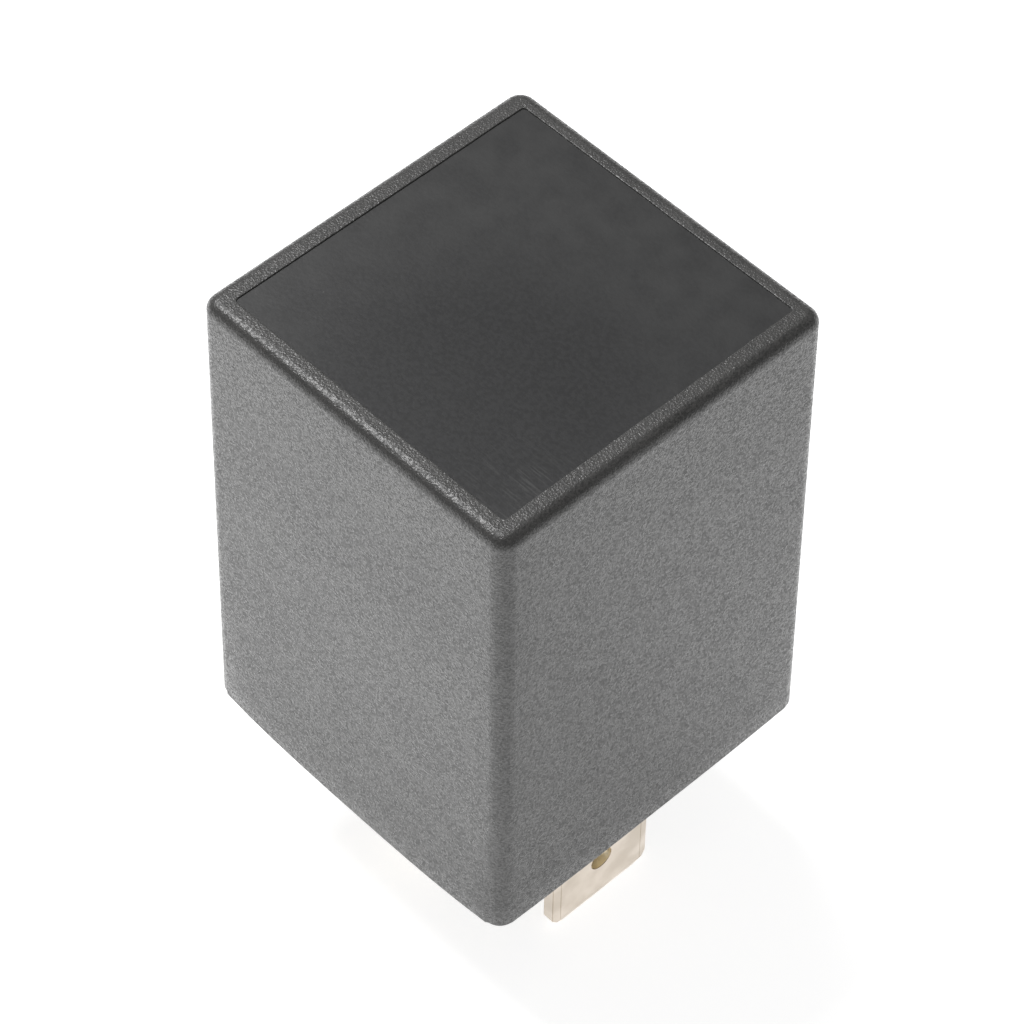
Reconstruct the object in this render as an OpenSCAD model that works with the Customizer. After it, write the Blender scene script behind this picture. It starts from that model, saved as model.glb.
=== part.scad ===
// Plug-in automotive power relay with two load blades and two coil blades.
// A moulded can snaps over a base plate. Inside, a coil pulls a hinged armature onto its pole, and
// a leaf spring on the armature closes the load contact. All lengths are in millimetres.
// The origin is the middle of the base's underside. +Z points through the roof, the load blades
// stand along Y and the coil blades along X. Blade tips reach z = -blade_len.

/* [Can] */
// Width of the can across its lower edge, the same both ways
can_w = 30; // [27:0.1:36]
// Height of the can from its lower edge to its rim
can_h = 41.7; // [34:0.1:55]
// Draft of the four sides, in degrees
can_draft = 0.5; // [0:0.05:0.8]
// Thickness of the four sides
can_wall = 1.3; // [0.8:0.05:1.5]
// Thickness of the roof
can_roof = 1.5; // [1:0.1:2.5]
// Radius of the four upright edges
can_edge_r = 1.3; // [1:0.05:2]
// Radius of the edge between the sides and the roof
can_rim_r = 0.9; // [0.3:0.05:1]
// Width of the rim that frames the recessed panel in the roof
rim_w = 1.6; // [1.2:0.1:3]
// Depth of the recessed panel
panel_depth = 0.1; // [0.05:0.05:0.5]
// How far the panel stands off the roof's middle, towards +X
panel_shift = 0.3; // [0:0.05:0.3]
// Corner radius of the recessed panel
panel_r = 0.3; // [0.1:0.05:1]
// Width of the guide ribs inside the can
rib_w = 1; // [0.6:0.1:1.6]
// How far the ribs stand out from the sides
rib_h = 0.9; // [0.5:0.05:1]
// Distance from the can's middle to each rib's middle
rib_x = 10; // [9.2:0.1:11]
// Width of the chamfer inside the can's mouth
mouth_cut = 0.3; // [0.1:0.05:0.4]

/* [Base] */
// Thickness of the base plate
base_t = 3.5; // [3:0.1:5]
// Clearance round the base plate inside the can
base_gap = 0.1; // [0.05:0.01:0.2]
// Clearance round each blade in its slot
slot_gap = 0.05; // [0.03:0.01:0.1]
// Length of each snap bead along the can's inner wall
snap_len = 8; // [4:0.5:12]
// Radius of the snap beads
snap_r = 0.45; // [0.3:0.05:0.6]
// Diameter of the pegs that locate the yoke's foot
peg_d = 1.6; // [1:0.1:2]
// Diameter of the vent hole
vent_d = 1.2; // [0.8:0.1:2]
// Depth of the pockets in the corners of the base's underside
pocket_depth = 0.8; // [0.3:0.1:1.2]
// Width of the land left round the pockets
land_w = 1.2; // [0.8:0.1:1.5]

/* [Blades] */
// Length of the blades below the base
blade_len = 11.5; // [8:0.1:14]
// Width of the two load blades
load_blade_w = 9.5; // [8:0.1:10]
// Thickness of the two load blades
load_blade_t = 1.2; // [1:0.05:1.3]
// Width of the two coil blades
coil_blade_w = 6.3; // [4.8:0.1:7]
// Thickness of the two coil blades
coil_blade_t = 0.8; // [0.6:0.05:1]
// Distance from the can's side to the middle of a load blade's thickness
load_inset = 3.5; // [3.45:0.05:3.9]
// Distance from the can's side to the middle of a coil blade's thickness
coil_inset = 6.6; // [6:0.1:6.8]
// How far load blade 87 stands off the middle, towards -X
load_shift = 1.9; // [0:0.1:2.5]
// Diameter of the detent hole in each load blade
load_hole_d = 2; // [1.5:0.1:2.5]
// Diameter of the detent hole in each coil blade
coil_hole_d = 1.7; // [1.3:0.1:2]
// Height of the detent holes above the blade tips
hole_up = 4.7; // [3:0.1:6]
// Width of the bevel along a blade's long edges
bevel_w = 0.7; // [0.3:0.05:1]
// Depth of that bevel from each face
bevel_d = 0.13; // [0.05:0.01:0.2]
// Size of the cut corners at a blade's tip
tip_cut = 1.1; // [0.5:0.1:1.5]
// Height of the lead-in taper at a blade's tip
lead_in = 0.9; // [0.4:0.1:1.5]

/* [Magnet] */
// Thickness of the yoke's steel
yoke_t = 2; // [1.5:0.1:2.2]
// Clearance between the yoke's foot and each coil blade
foot_gap = 1; // [0.6:0.1:1.6]
// Width of the ears at the yoke's top
ear_w = 1.6; // [1:0.1:2]
// Height of the ears at the yoke's top that guide the armature
ear_h = 1.2; // [0.5:0.1:1.5]
// How far the pole face stands out past the core
pole_lip = 1.5; // [0.8:0.1:1.8]
// Thickness of the pole face
pole_t = 1.2; // [0.8:0.1:1.6]
// Height of the step from the core down to its riveted tail
tail_step = 1.2; // [1:0.1:1.8]

/* [Coil] */
// Depth kept free between terminal 87 and the winding, for the contacts and the resistor
contact_room = 4.5; // [4:0.1:5.5]
// Depth of the copper wound on the bobbin's tube
copper_depth = 2.9; // [2:0.1:3.6]
// Thickness of the bobbin's flanges
flange_t = 1.5; // [1:0.1:2]
// Wall of the bobbin's tube
tube_wall = 0.7; // [0.5:0.05:1]
// Clearance between the bobbin and the core
bobbin_gap = 0.1; // [0.05:0.01:0.2]
// Clearance between the winding and the yoke's leg
leg_gap = 0.9; // [0.6:0.05:1.2]
// Diameter of the winding's leads
lead_d = 0.5; // [0.3:0.05:0.7]

/* [Armature] */
// Angle between the open and the closed armature, in degrees
open_angle = 4; // [2:0.5:5]
// Free height between the pole face and the roof
headroom = 7; // [6.6:0.1:9]
// Thickness of the armature
armature_t = 1.6; // [1.2:0.1:1.8]
// Clearance between the armature's sides and the stop's legs
side_gap = 0.6; // [0.4:0.1:1]
// Working clearance between the closed armature and the magnet
air_gap = 0.05; // [0.03:0.01:0.1]
// Width of the stop that the open armature rests against
stop_w = 3.2; // [2:0.1:4]
// Thickness of the stop's sheet
stop_t = 0.8; // [0.6:0.05:0.9]
// Clearance between the open armature and the stop
stop_gap = 0.05; // [0.03:0.01:0.1]

/* [Contacts] */
// Diameter of the contacts
contact_d = 4; // [3:0.1:4.4]
// Thickness of a contact's head
contact_t = 1.2; // [0.8:0.05:1.4]
// Rise of a contact's domed face
contact_dome = 0.25; // [0.1:0.05:0.4]
// Thickness of the leaf spring
leaf_t = 0.3; // [0.2:0.05:0.4]
// Width of the leaf spring at the hinge
leaf_w = 9; // [7:0.1:9.6]
// Width of terminal 87's strip inside the can
strip_w = 5.6; // [4.6:0.1:5.6]
// Diameter of the rivets' shanks
rivet_d = 1.6; // [1.2:0.1:2]
// Height from the rivets in the yoke's leg up to the pole face's underside
rivet_drop = 7; // [5:0.1:9]

/* [Wiring] */
// Distance from the can's side to the middle of a coil post
post_inset = 3.8; // [3.6:0.05:4]
// Width of the coil posts
post_w = 3.4; // [2.4:0.1:4]
// Height of the coil posts above the base
post_h = 8; // [6:0.5:12]
// Width of the braid
braid_w = 2.4; // [1.5:0.1:2.6]
// Thickness of the braid
braid_t = 0.9; // [0.6:0.05:1]
// Diameter of the resistor's body
resistor_d = 2.2; // [1.6:0.1:2.4]
// Length of the resistor's body
resistor_len = 6.2; // [5:0.1:8]
// Diameter of the resistor's leads
resistor_lead_d = 0.5; // [0.4:0.05:0.6]

/* [Hidden] */
$fn = 48;

// Finishes
CAN_GREY = "#555553";
BASE_GREY = "#3b3b3a";
TINNED = "#ded3c6";
STEEL = "#a9adb0";
NYLON = "#e8e2cf";
COPPER = "#a85a32";
BRONZE = "#c49a52";
SILVER = "#d9d9d4";
CERAMIC = "#c9b48c";

// Clearances
seat = 0.02;            // between pieces that are clamped or welded together
fit = 0.05;             // round a shank in its hole
lap = 0.1;              // between the bobbin's flanges and the yoke's leg
guide = 0.2;            // between the yoke's ears and the armature's neck
over = 1;               // how far a cut runs past the surface it opens

// Small forms
corner_steps = 6;       // facets on a rounded corner
bend_step = 15;         // degrees between points on a bend
wire_sides = 8;         // sides of a swept wire
edge = 0.2;             // broken edge of a turned or punched piece
mark_d = 2.4;           // ejector marks under the base
mark_depth = 0.2;
pocket_r = 0.8;         // corners of the base's pockets
hook_r = 0.4;           // the bobbin's hooks, which guide the leads
hook_h = 1.4;
shoulder_w = 0.6;       // a load terminal's shoulders, which rest on the base
shoulder_h = 1.2;
post_cut = 0.6;         // cut corners at the top of a coil post
flange_r = 1;           // corners of the bobbin's flanges
flange_lip = 0.3;       // how far a flange stands past the winding
rivet_head_h = 0.5;     // a rivet's formed head
rivet_head_r = 0.8;     // its radius, as a share of the shank's diameter
shank_r = 0.9;          // a contact's shank
stub_r = 1.2;           // its riveted stub
stub_h = 0.4;

// Where the inner face of a side lies at height z
function can_half(z) = can_w / 2 - z * tan(can_draft);
function can_inside(z) = can_half(z) - can_wall;
inside_r = max(0.5, can_edge_r - can_wall);
roof_z = can_h - can_roof;

// Load blades and the magnet that stands between them
load_y = can_w / 2 - load_inset;
hinge_y = load_y - load_blade_t / 2;
leg_in = hinge_y - yoke_t;
foot_top = base_t + yoke_t;
pole_z = roof_z - headroom;
coil_top = pole_z - pole_t;
coil_back = leg_in - leg_gap;
coil_front = -load_y + load_blade_t / 2 + contact_room;
coil_y = (coil_back + coil_front) / 2;
winding_d = coil_back - coil_front;
core_d = winding_d - 2 * (copper_depth + tube_wall + bobbin_gap);
pole_d = core_d + 2 * pole_lip;
tail_d = core_d - 2 * tail_step;
coil_x = can_w / 2 - coil_inset;
yoke_w = 2 * (coil_x - coil_blade_t / 2 - foot_gap);
yoke_bend = yoke_t * 0.75;
peg_x = yoke_w / 2 - 1.25 * peg_d;
peg_y = coil_y - (core_d + peg_d) / 2;
foot_front = peg_y - 1.1 * peg_d;
tail_h = yoke_t * 0.4;
tail_flare = (tail_d + 0.7 * yoke_t) / 2;

// Bobbin
tube_r = core_d / 2 + bobbin_gap + tube_wall;
flange_back = leg_in - lap;
flange_front = coil_front - flange_lip;
flange_w = winding_d + 4 * flange_lip;

// Armature, leaf and stop in the closed pose
armature_z = pole_z + air_gap;
leaf_z = armature_z + armature_t + seat;
leaf_top = leaf_z + leaf_t;
armature_w = yoke_w;
armature_cut = armature_t;
armature_front = coil_y - pole_d / 2 - armature_cut;
neck_w = yoke_w - 2 * (ear_w + guide);
neck_len = yoke_t + 2 * guide;
armature_rivet_x = leaf_w / 2 - rivet_d;
armature_rivet_y = coil_y + pole_d / 2 + edge;
stop_x = armature_w / 2 + side_gap + stop_t / 2;
stop_y = armature_front + armature_cut + stop_w / 2 + braid_w / 2;
stop_reach = hinge_y - (stop_y - stop_w / 2);
stop_z = pole_z + (leaf_top - pole_z) / cos(open_angle) + stop_reach * tan(open_angle) + stop_gap;
top_flange_w = 2 * (stop_x + stop_t / 2 + 2 * flange_lip);

// Contacts, and the shelf that terminal 87 bends into
shelf_bend = load_blade_t * 0.75;
contact_y = -load_y + shelf_bend + stub_r + fit;
contact_low = leaf_z - seat - contact_t;
shelf_top = contact_low - air_gap - contact_t - seat;
shelf_end = contact_y + contact_d / 2;

// Terminals inside the can
leaf_y = load_y + load_blade_t / 2 + seat;
yoke_rivet_x = leaf_w / 2 - 1.25 * rivet_d;
yoke_rivet_z = coil_top - rivet_drop;
leaf_low = yoke_rivet_z - 1.6 * rivet_d;
lug_x = (leaf_w + braid_w) / 2 + guide;
lug_top = yoke_rivet_z + 1.5 * rivet_d;
lug_h = 1.5 * braid_w;
post_x = can_w / 2 - post_inset;
post_bend = coil_blade_t + 0.1;
jog_z = base_t + post_bend;
post_top = base_t + post_h;

// Way of the +X lead from the winding's foot to its post, and the hook beside it
lead_reach = winding_d / 2 + lead_d / 2 + seat;
lead_leave = 55;
lead_start = [lead_reach * cos(lead_leave), coil_y - lead_reach * sin(lead_leave)];
lead_end = [post_x - coil_blade_t / 2 - lead_d / 2 - seat, -post_w / 2 - lead_d];
lead_run = unit(lead_end - lead_start);
hook_along = (flange_w / 2 - 2 * hook_r - lead_start[0]) / lead_run[0];
hook_off = hook_r + lead_d / 2 + fit;
hook = lead_start + hook_along * lead_run + hook_off * [lead_run[1], -lead_run[0]];

// Points -----------------------------------------------------------------

function unit(v) = v / norm(v);

// Rectangle of half-sizes hx and hy with rounded corners, anticlockwise
function round_rect(hx, hy, r) = [
    for (q = [0:3], i = [0:corner_steps])
        let (a = 90 * (q + i / corner_steps),
             sx = (q == 0 || q == 3) ? 1 : -1,
             sy = q < 2 ? 1 : -1)
        [sx * (hx - r) + r * cos(a), sy * (hy - r) + r * sin(a)]
];

// Arc of radius r that replaces the corner p between a and b
function corner_arc(a, p, b, r) =
    let (u = unit(p - a),
         v = unit(b - p),
         turn = acos(u * v),
         start = p - r * tan(turn / 2) * u,
         inward = unit(v - (v * u) * u),
         steps = ceil(turn / bend_step))
    [for (k = [0:steps])
        let (w = turn * k / steps)
        start + r * sin(w) * u + r * (1 - cos(w)) * inward];

// Polyline with each inner corner turned into an arc
function rounded(pts, r) = concat(
    [pts[0]],
    [for (i = [1:len(pts) - 2]) each corner_arc(pts[i - 1], pts[i], pts[i + 1], r)],
    [pts[len(pts) - 1]]
);

function tangent(path, i) = unit(path[min(i + 1, len(path) - 1)] - path[max(i - 1, 0)]);

// Outline of a sheet of thickness t whose middle follows a path
function strip(path, t) =
    let (n = len(path) - 1,
         side = [for (i = [0:n]) let (d = tangent(path, i)) [-d[1], d[0]] * t / 2])
    concat([for (i = [0:n]) path[i] + side[i]], [for (i = [n:-1:0]) path[i] - side[i]]);

// Arc of points about c, from angle a0 to a1
function arc(c, r, a0, a1, steps = 12) = [
    for (i = [0:steps]) c + r * [cos(a0 + (a1 - a0) * i / steps), sin(a0 + (a1 - a0) * i / steps)]
];

// Solids made from points -------------------------------------------------

// Skin through rings of equally many points, closed at both ends
module loft(rings) {
    n = len(rings[0]);
    m = len(rings);
    polyhedron(
        points = [for (ring = rings) each ring],
        faces = concat(
            [[for (i = [0:n - 1]) i]],
            [for (k = [0:m - 2], i = [0:n - 1])
                let (j = (i + 1) % n)
                [k * n + i, (k + 1) * n + i, (k + 1) * n + j, k * n + j]],
            [[for (i = [n - 1:-1:0]) (m - 1) * n + i]]
        )
    );
}

// Oval of half-sizes a and b swept along a path. flat is the direction of a.
module sweep(path, flat, a, b) {
    loft([
        for (i = [0:len(path) - 1])
            let (t = tangent(path, i),
                 s = unit(flat - (flat * t) * t),
                 u = cross(t, s))
            [for (k = [0:wire_sides - 1])
                let (w = 360 * (k + 0.5) / wire_sides)
                path[i] + a * cos(w) * s + b * sin(w) * u]
    ]);
}

// Sheet whose profile lies in the YZ plane, w wide along X
module sheet_x(path, t, w) {
    rotate([90, 0, 90])
        linear_extrude(w, center = true)
            polygon(strip(path, t));
}

// Sheet whose profile lies in the XZ plane, w wide along Y
module sheet_y(path, t, w) {
    rotate([90, 0, 0])
        linear_extrude(w, center = true)
            polygon(strip(path, t));
}

// Prism along Y of an outline in the XZ plane
module front_prism(points, depth) {
    rotate([90, 0, 0])
        linear_extrude(depth, center = true)
            polygon(points);
}

// Turns closed-pose pieces about the hinge line into the open rest pose
module opened() {
    translate([0, hinge_y, pole_z])
        rotate([-open_angle, 0, 0])
            translate([0, -hinge_y, -pole_z])
                children();
}

// Can and base --------------------------------------------------------------

// Outer ring of the can at height z, drawn in by inset
function can_ring(z, inset) =
    let (half = can_half(z) - inset)
    [for (p = round_rect(half, half, max(0.2, can_edge_r - inset))) [p[0], p[1], z]];

// Beads along the four sides at the snap's height, grown by a clearance
module snap_beads(grow) {
    for (a = [0:90:270])
        rotate(a)
            translate([0, can_inside(base_t / 2), base_t / 2])
                rotate([0, 90, 0])
                    cylinder(r = snap_r + grow, h = snap_len + 2 * grow, center = true);
}

// Guide ribs down the inside of the four sides, which also stop the base plate
module guide_ribs() {
    for (a = [0:90:270], side = [-1, 1])
        rotate(a)
            loft([
                for (z = [base_t + base_gap, roof_z + lap])
                    let (wall = can_inside(z), left = side * rib_x - rib_w / 2)
                    [
                        [left, wall - rib_h, z], [left + rib_w, wall - rib_h, z],
                        [left + rib_w, wall + lap, z], [left, wall + lap, z]
                    ]
            ]);
}

module cover() {
    rim_steps = 6;
    panel_half = can_half(can_h) - rim_w;
    color(CAN_GREY)
    difference() {
        union() {
            difference() {
                loft(concat(
                    [can_ring(0, 0)],
                    [for (k = [0:rim_steps])
                        let (a = 90 * k / rim_steps)
                        can_ring(can_h - can_rim_r * (1 - sin(a)), can_rim_r * (1 - cos(a)))]
                ));
                loft([
                    for (mouth = [[-over, mouth_cut], [0, mouth_cut], [2 * mouth_cut, 0], [roof_z, 0]])
                        let (z = mouth[0], half = can_inside(z) + mouth[1])
                        [for (p = round_rect(half, half, inside_r)) [p[0], p[1], z]]
                ]);
            }
            snap_beads(0);
            guide_ribs();
        }
        translate([panel_shift, 0, can_h - panel_depth])
            linear_extrude(over)
                polygon(round_rect(panel_half, panel_half, panel_r));
    }
}

// Slot for a shank of width w and thickness t
module slot(w, t) {
    translate([0, 0, base_t / 2])
        cube([w + 2 * slot_gap, t + 2 * slot_gap, base_t + 2 * over], center = true);
}

module base() {
    half = can_inside(base_t) - base_gap;
    pocket_end = half - land_w;
    pocket_x = load_blade_w / 2 + load_shift + land_w;
    pocket_y = coil_blade_w / 2 + land_w;
    pad_in = coil_x + post_bend;
    pad_out = post_x + coil_blade_t / 2;
    color(BASE_GREY)
    difference() {
        union() {
            linear_extrude(base_t)
                polygon(round_rect(half, half, inside_r));
            // pads under the coil terminals' jogs
            for (side = [-1, 1])
                translate([side * (pad_in + pad_out) / 2, 0, base_t])
                    linear_extrude(jog_z - coil_blade_t / 2 - base_t)
                        square([pad_out - pad_in, post_w], center = true);
            // pegs in the yoke's foot
            for (side = [-1, 1])
                translate([side * peg_x, peg_y, base_t - over])
                    cylinder(d = peg_d, h = over + yoke_t * 0.8);
        }
        translate([-load_shift, -load_y])
            slot(load_blade_w, load_blade_t);
        translate([0, load_y])
            slot(load_blade_w, load_blade_t);
        for (side = [-1, 1])
            translate([side * coil_x, 0])
                rotate(90)
                    slot(coil_blade_w, coil_blade_t);
        snap_beads(base_gap);
        translate([0, -load_y / 2, -over])
            cylinder(d = vent_d, h = base_t + 2 * over);
        // corner pockets, each with the mark of an ejector pin
        for (side = [-1, 1], end = [-1, 1])
            translate([side * (pocket_x + pocket_end) / 2, end * (pocket_y + pocket_end) / 2, -over]) {
                linear_extrude(over + pocket_depth)
                    polygon(round_rect(
                        (pocket_end - pocket_x) / 2, (pocket_end - pocket_y) / 2, pocket_r
                    ));
                cylinder(d = mark_d, h = over + pocket_depth + mark_depth);
            }
    }
}

// Terminals -------------------------------------------------------------------

// Blade below z = 0: bevelled long edges, cut tip corners and a lead-in taper
module blade(w, t, hole_d) {
    tip = -blade_len;
    difference() {
        intersection() {
            translate([0, 0, tip])
                linear_extrude(blade_len)
                    polygon([
                        [w / 2, bevel_d - t / 2], [w / 2, t / 2 - bevel_d],
                        [w / 2 - bevel_w, t / 2], [bevel_w - w / 2, t / 2],
                        [-w / 2, t / 2 - bevel_d], [-w / 2, bevel_d - t / 2],
                        [bevel_w - w / 2, -t / 2], [w / 2 - bevel_w, -t / 2]
                    ]);
            front_prism([
                [-w / 2 - over, over], [-w / 2 - over, tip + tip_cut + over],
                [tip_cut - w / 2, tip], [w / 2 - tip_cut, tip],
                [w / 2 + over, tip + tip_cut + over], [w / 2 + over, over]
            ], t + over);
            rotate([90, 0, 90])
                linear_extrude(w + over, center = true)
                    polygon([
                        [-t, over], [-t / 2, tip + lead_in], [-t / 4, tip],
                        [t / 4, tip], [t / 2, tip + lead_in], [t, over]
                    ]);
        }
        translate([0, 0, tip + hole_up])
            rotate([90, 0, 0])
                cylinder(d = hole_d, h = t + over, center = true);
    }
}

// Front outline of a load terminal: a shank at x, shoulders on the base, then a strip of width w
function load_outline(x, w, top) =
    let (half = load_blade_w / 2,
         wide = half + shoulder_w,
         rise = base_t + shoulder_h)
    [
        [x - half, 0], [x + half, 0], [x + half, base_t], [x + wide, base_t],
        [x + wide, rise], [w / 2, rise + shoulder_w], [w / 2, top], [-w / 2, top],
        [-w / 2, rise + shoulder_w], [x - wide, rise], [x - wide, base_t], [x - half, base_t]
    ];

// The strip rises past the coil and bends over as the shelf for the fixed contact
module terminal_87() {
    shelf_z = shelf_top - load_blade_t / 2;
    path = rounded([[-load_y, 0], [-load_y, shelf_z], [shelf_end, shelf_z]], shelf_bend);
    color(TINNED)
    difference() {
        union() {
            translate([-load_shift, -load_y])
                blade(load_blade_w, load_blade_t, load_hole_d);
            intersection() {
                sheet_x(path, load_blade_t, 2 * can_w);
                front_prism(load_outline(-load_shift, strip_w, shelf_top + over), 2 * can_w);
            }
        }
        translate([0, contact_y, shelf_top - load_blade_t - over])
            cylinder(r = shank_r + fit, h = load_blade_t + 2 * over);
    }
}

// The strip lies on the yoke's leg, with a lug at its top for the braid
module terminal_30() {
    lug_out = lug_x + braid_w / 2 + guide;
    lug_low = lug_top - lug_h;
    color(TINNED)
    difference() {
        union() {
            translate([0, load_y])
                blade(load_blade_w, load_blade_t, load_hole_d);
            translate([0, load_y])
                front_prism(load_outline(0, leaf_w, lug_top), load_blade_t);
            translate([0, load_y])
                front_prism([
                    [0, lug_low - braid_w], [leaf_w / 2, lug_low - braid_w], [lug_out, lug_low],
                    [lug_out, lug_top], [0, lug_top]
                ], load_blade_t);
        }
        for (side = [-1, 1])
            translate([side * yoke_rivet_x, load_y, yoke_rivet_z])
                rotate([90, 0, 0])
                    cylinder(d = rivet_d + 2 * fit, h = load_blade_t + over, center = true);
    }
}

// Blade, jog outwards over the base, then the post for the leads
module coil_terminal(side) {
    path = rounded(
        [[coil_x, 0], [coil_x, jog_z], [post_x, jog_z], [post_x, post_top]],
        post_bend
    );
    neck_z = jog_z - coil_blade_t / 2;
    color(TINNED)
    mirror([side < 0 ? 1 : 0, 0, 0])
    union() {
        translate([coil_x, 0])
            rotate(90)
                blade(coil_blade_w, coil_blade_t, coil_hole_d);
        intersection() {
            sheet_y(path, coil_blade_t, coil_blade_w);
            rotate([90, 0, 90])
                linear_extrude(can_w)
                    polygon([
                        [-coil_blade_w / 2, 0], [coil_blade_w / 2, 0],
                        [coil_blade_w / 2, base_t], [post_w / 2, neck_z],
                        [post_w / 2, post_top - post_cut], [post_w / 2 - post_cut, post_top],
                        [post_cut - post_w / 2, post_top], [-post_w / 2, post_top - post_cut],
                        [-post_w / 2, neck_z], [-coil_blade_w / 2, base_t]
                    ]);
        }
    }
}

module terminal_85() {
    coil_terminal(-1);
}

module terminal_86() {
    coil_terminal(1);
}

// Magnet ------------------------------------------------------------------------

// Bent plate: a foot under the coil and a leg that carries the hinge
module yoke() {
    mid = yoke_t / 2;
    path = rounded(
        [[foot_front, base_t + mid], [leg_in + mid, base_t + mid], [leg_in + mid, pole_z]],
        yoke_bend
    );
    color(STEEL)
    difference() {
        union() {
            sheet_x(path, yoke_t, yoke_w);
            // ears beside the armature's neck
            for (side = [-1, 1])
                translate([side * (yoke_w - ear_w) / 2, leg_in + mid, pole_z + ear_h / 2 - over / 2])
                    cube([ear_w, yoke_t, ear_h + over], center = true);
        }
        // the core's tail and its countersink
        translate([0, coil_y, base_t - over])
            cylinder(d = tail_d + 2 * fit, h = yoke_t + 2 * over);
        translate([0, coil_y, base_t - fit])
            cylinder(r1 = tail_flare + 2 * fit, r2 = tail_d / 2 + fit, h = tail_h + fit);
        for (side = [-1, 1]) {
            translate([side * peg_x, peg_y, base_t - over])
                cylinder(d = peg_d + 2 * fit, h = yoke_t + 2 * over);
            translate([side * yoke_rivet_x, leg_in + mid, yoke_rivet_z])
                rotate([90, 0, 0])
                    cylinder(d = rivet_d + 2 * fit, h = yoke_t + over, center = true);
        }
    }
}

// Pole face, shank and riveted tail in one turned piece
module core() {
    color(STEEL)
    translate([0, coil_y])
        rotate_extrude()
            polygon([
                [0, base_t], [tail_flare, base_t], [tail_d / 2, base_t + tail_h],
                [tail_d / 2, foot_top], [core_d / 2, foot_top], [core_d / 2, coil_top],
                [pole_d / 2, coil_top], [pole_d / 2, pole_z - edge],
                [pole_d / 2 - edge, pole_z], [0, pole_z]
            ]);
}

// Flange of width w, from the front to y = back
module flange(z, w, back) {
    translate([0, (flange_front + back) / 2, z])
        linear_extrude(flange_t)
            polygon(round_rect(w / 2, (back - flange_front) / 2, flange_r));
}

module bobbin() {
    color(NYLON)
    difference() {
        union() {
            flange(foot_top, flange_w, flange_back - (yoke_bend - yoke_t / 2));
            flange(coil_top - flange_t, top_flange_w, flange_back);
            translate([0, coil_y, foot_top])
                cylinder(r = tube_r, h = coil_top - foot_top);
            for (side = [-1, 1])
                translate([side * hook[0], hook[1], foot_top + flange_t - lap])
                    cylinder(r = hook_r, h = lap + hook_h);
        }
        translate([0, coil_y, foot_top - over])
            cylinder(d = core_d + 2 * bobbin_gap, h = coil_top - foot_top + 2 * over);
        // sockets for the stop's legs
        for (side = [-1, 1])
            translate([side * stop_x, stop_y, coil_top])
                cube([stop_t + 2 * fit, stop_w + 2 * fit, 4 * flange_t], center = true);
    }
}

module winding() {
    low = foot_top + flange_t + seat;
    high = coil_top - flange_t - seat;
    soft = 2 * edge;
    color(COPPER)
    translate([0, coil_y])
        rotate_extrude()
            polygon([
                [tube_r + seat, low], [winding_d / 2 - soft, low], [winding_d / 2, low + soft],
                [winding_d / 2, high - soft], [winding_d / 2 - soft, high], [tube_r + seat, high]
            ]);
}

// Lead from the foot of the winding to the inner face of a coil post
module coil_lead(side) {
    low = foot_top + flange_t + lead_d;
    path = rounded([
        [side * lead_start[0], lead_start[1], low],
        [side * lead_end[0], lead_end[1], low + lead_d],
        [side * lead_end[0], post_w / 2 - lead_d, low + 2 * lead_d]
    ], 2 * lead_d);
    color(COPPER)
    sweep(path, [0, 0, 1], lead_d / 2, lead_d / 2);
}

module coil_lead_85() {
    coil_lead(-1);
}

module coil_lead_86() {
    coil_lead(1);
}

// Armature and contacts -----------------------------------------------------------

module armature() {
    w = armature_w / 2;
    neck = neck_w / 2;
    cut = armature_cut;
    color(STEEL)
    opened()
    difference() {
        translate([0, 0, armature_z])
            linear_extrude(armature_t)
                polygon([
                    [cut - w, armature_front], [w - cut, armature_front],
                    [w, armature_front + cut], [w, hinge_y - neck_len],
                    [neck, hinge_y - neck_len], [neck, hinge_y],
                    [-neck, hinge_y], [-neck, hinge_y - neck_len],
                    [-w, hinge_y - neck_len], [-w, armature_front + cut]
                ]);
        for (side = [-1, 1])
            translate([side * armature_rivet_x, armature_rivet_y, armature_z - over])
                cylinder(d = rivet_d + 2 * fit, h = armature_t + 2 * over);
    }
}

// Leaf bent over the hinge: an upright leg on terminal 30, then the arm with the moving contact
module contact_spring() {
    mid_h = leaf_z + leaf_t / 2 - pole_z;
    along = [-cos(open_angle), sin(open_angle)];
    normal = [sin(open_angle), cos(open_angle)];
    on_arm = [hinge_y, pole_z] + mid_h * normal;
    leg_y = leaf_y + leaf_t / 2;
    corner = on_arm + (on_arm[0] - leg_y) / cos(open_angle) * along;
    tip_r = contact_d / 2 + 2 * leaf_t;
    tip = on_arm + (hinge_y - contact_y + tip_r + over) * along;
    bend_r = load_blade_t + leaf_t / 2;
    path = rounded([[leg_y, leaf_low], corner, tip], bend_r);
    color(BRONZE)
    difference() {
        intersection() {
            sheet_x(path, leaf_t, can_w);
            union() {
                translate([0, can_w / 2 + hinge_y - 1, can_h / 2])
                    cube([leaf_w, can_w, can_h], center = true);
                opened()
                    translate([0, 0, leaf_z - over])
                        linear_extrude(leaf_t + 2 * over)
                            polygon(concat(
                                [[leaf_w / 2, hinge_y], [-leaf_w / 2, hinge_y]],
                                [[-leaf_w / 2, armature_front + armature_cut]],
                                arc([0, contact_y], tip_r, 180, 360),
                                [[leaf_w / 2, armature_front + armature_cut]]
                            ));
            }
        }
        opened()
            translate([0, contact_y, leaf_z - over])
                cylinder(r = shank_r + fit, h = leaf_t + 2 * over);
        opened()
            for (side = [-1, 1])
                translate([side * armature_rivet_x, armature_rivet_y, leaf_z - over])
                    cylinder(d = rivet_d + 2 * fit, h = leaf_t + 2 * over);
        for (side = [-1, 1])
            translate([side * yoke_rivet_x, leg_y, yoke_rivet_z])
                rotate([90, 0, 0])
                    cylinder(d = rivet_d + 2 * fit, h = leaf_t + over, center = true);
    }
}

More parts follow.
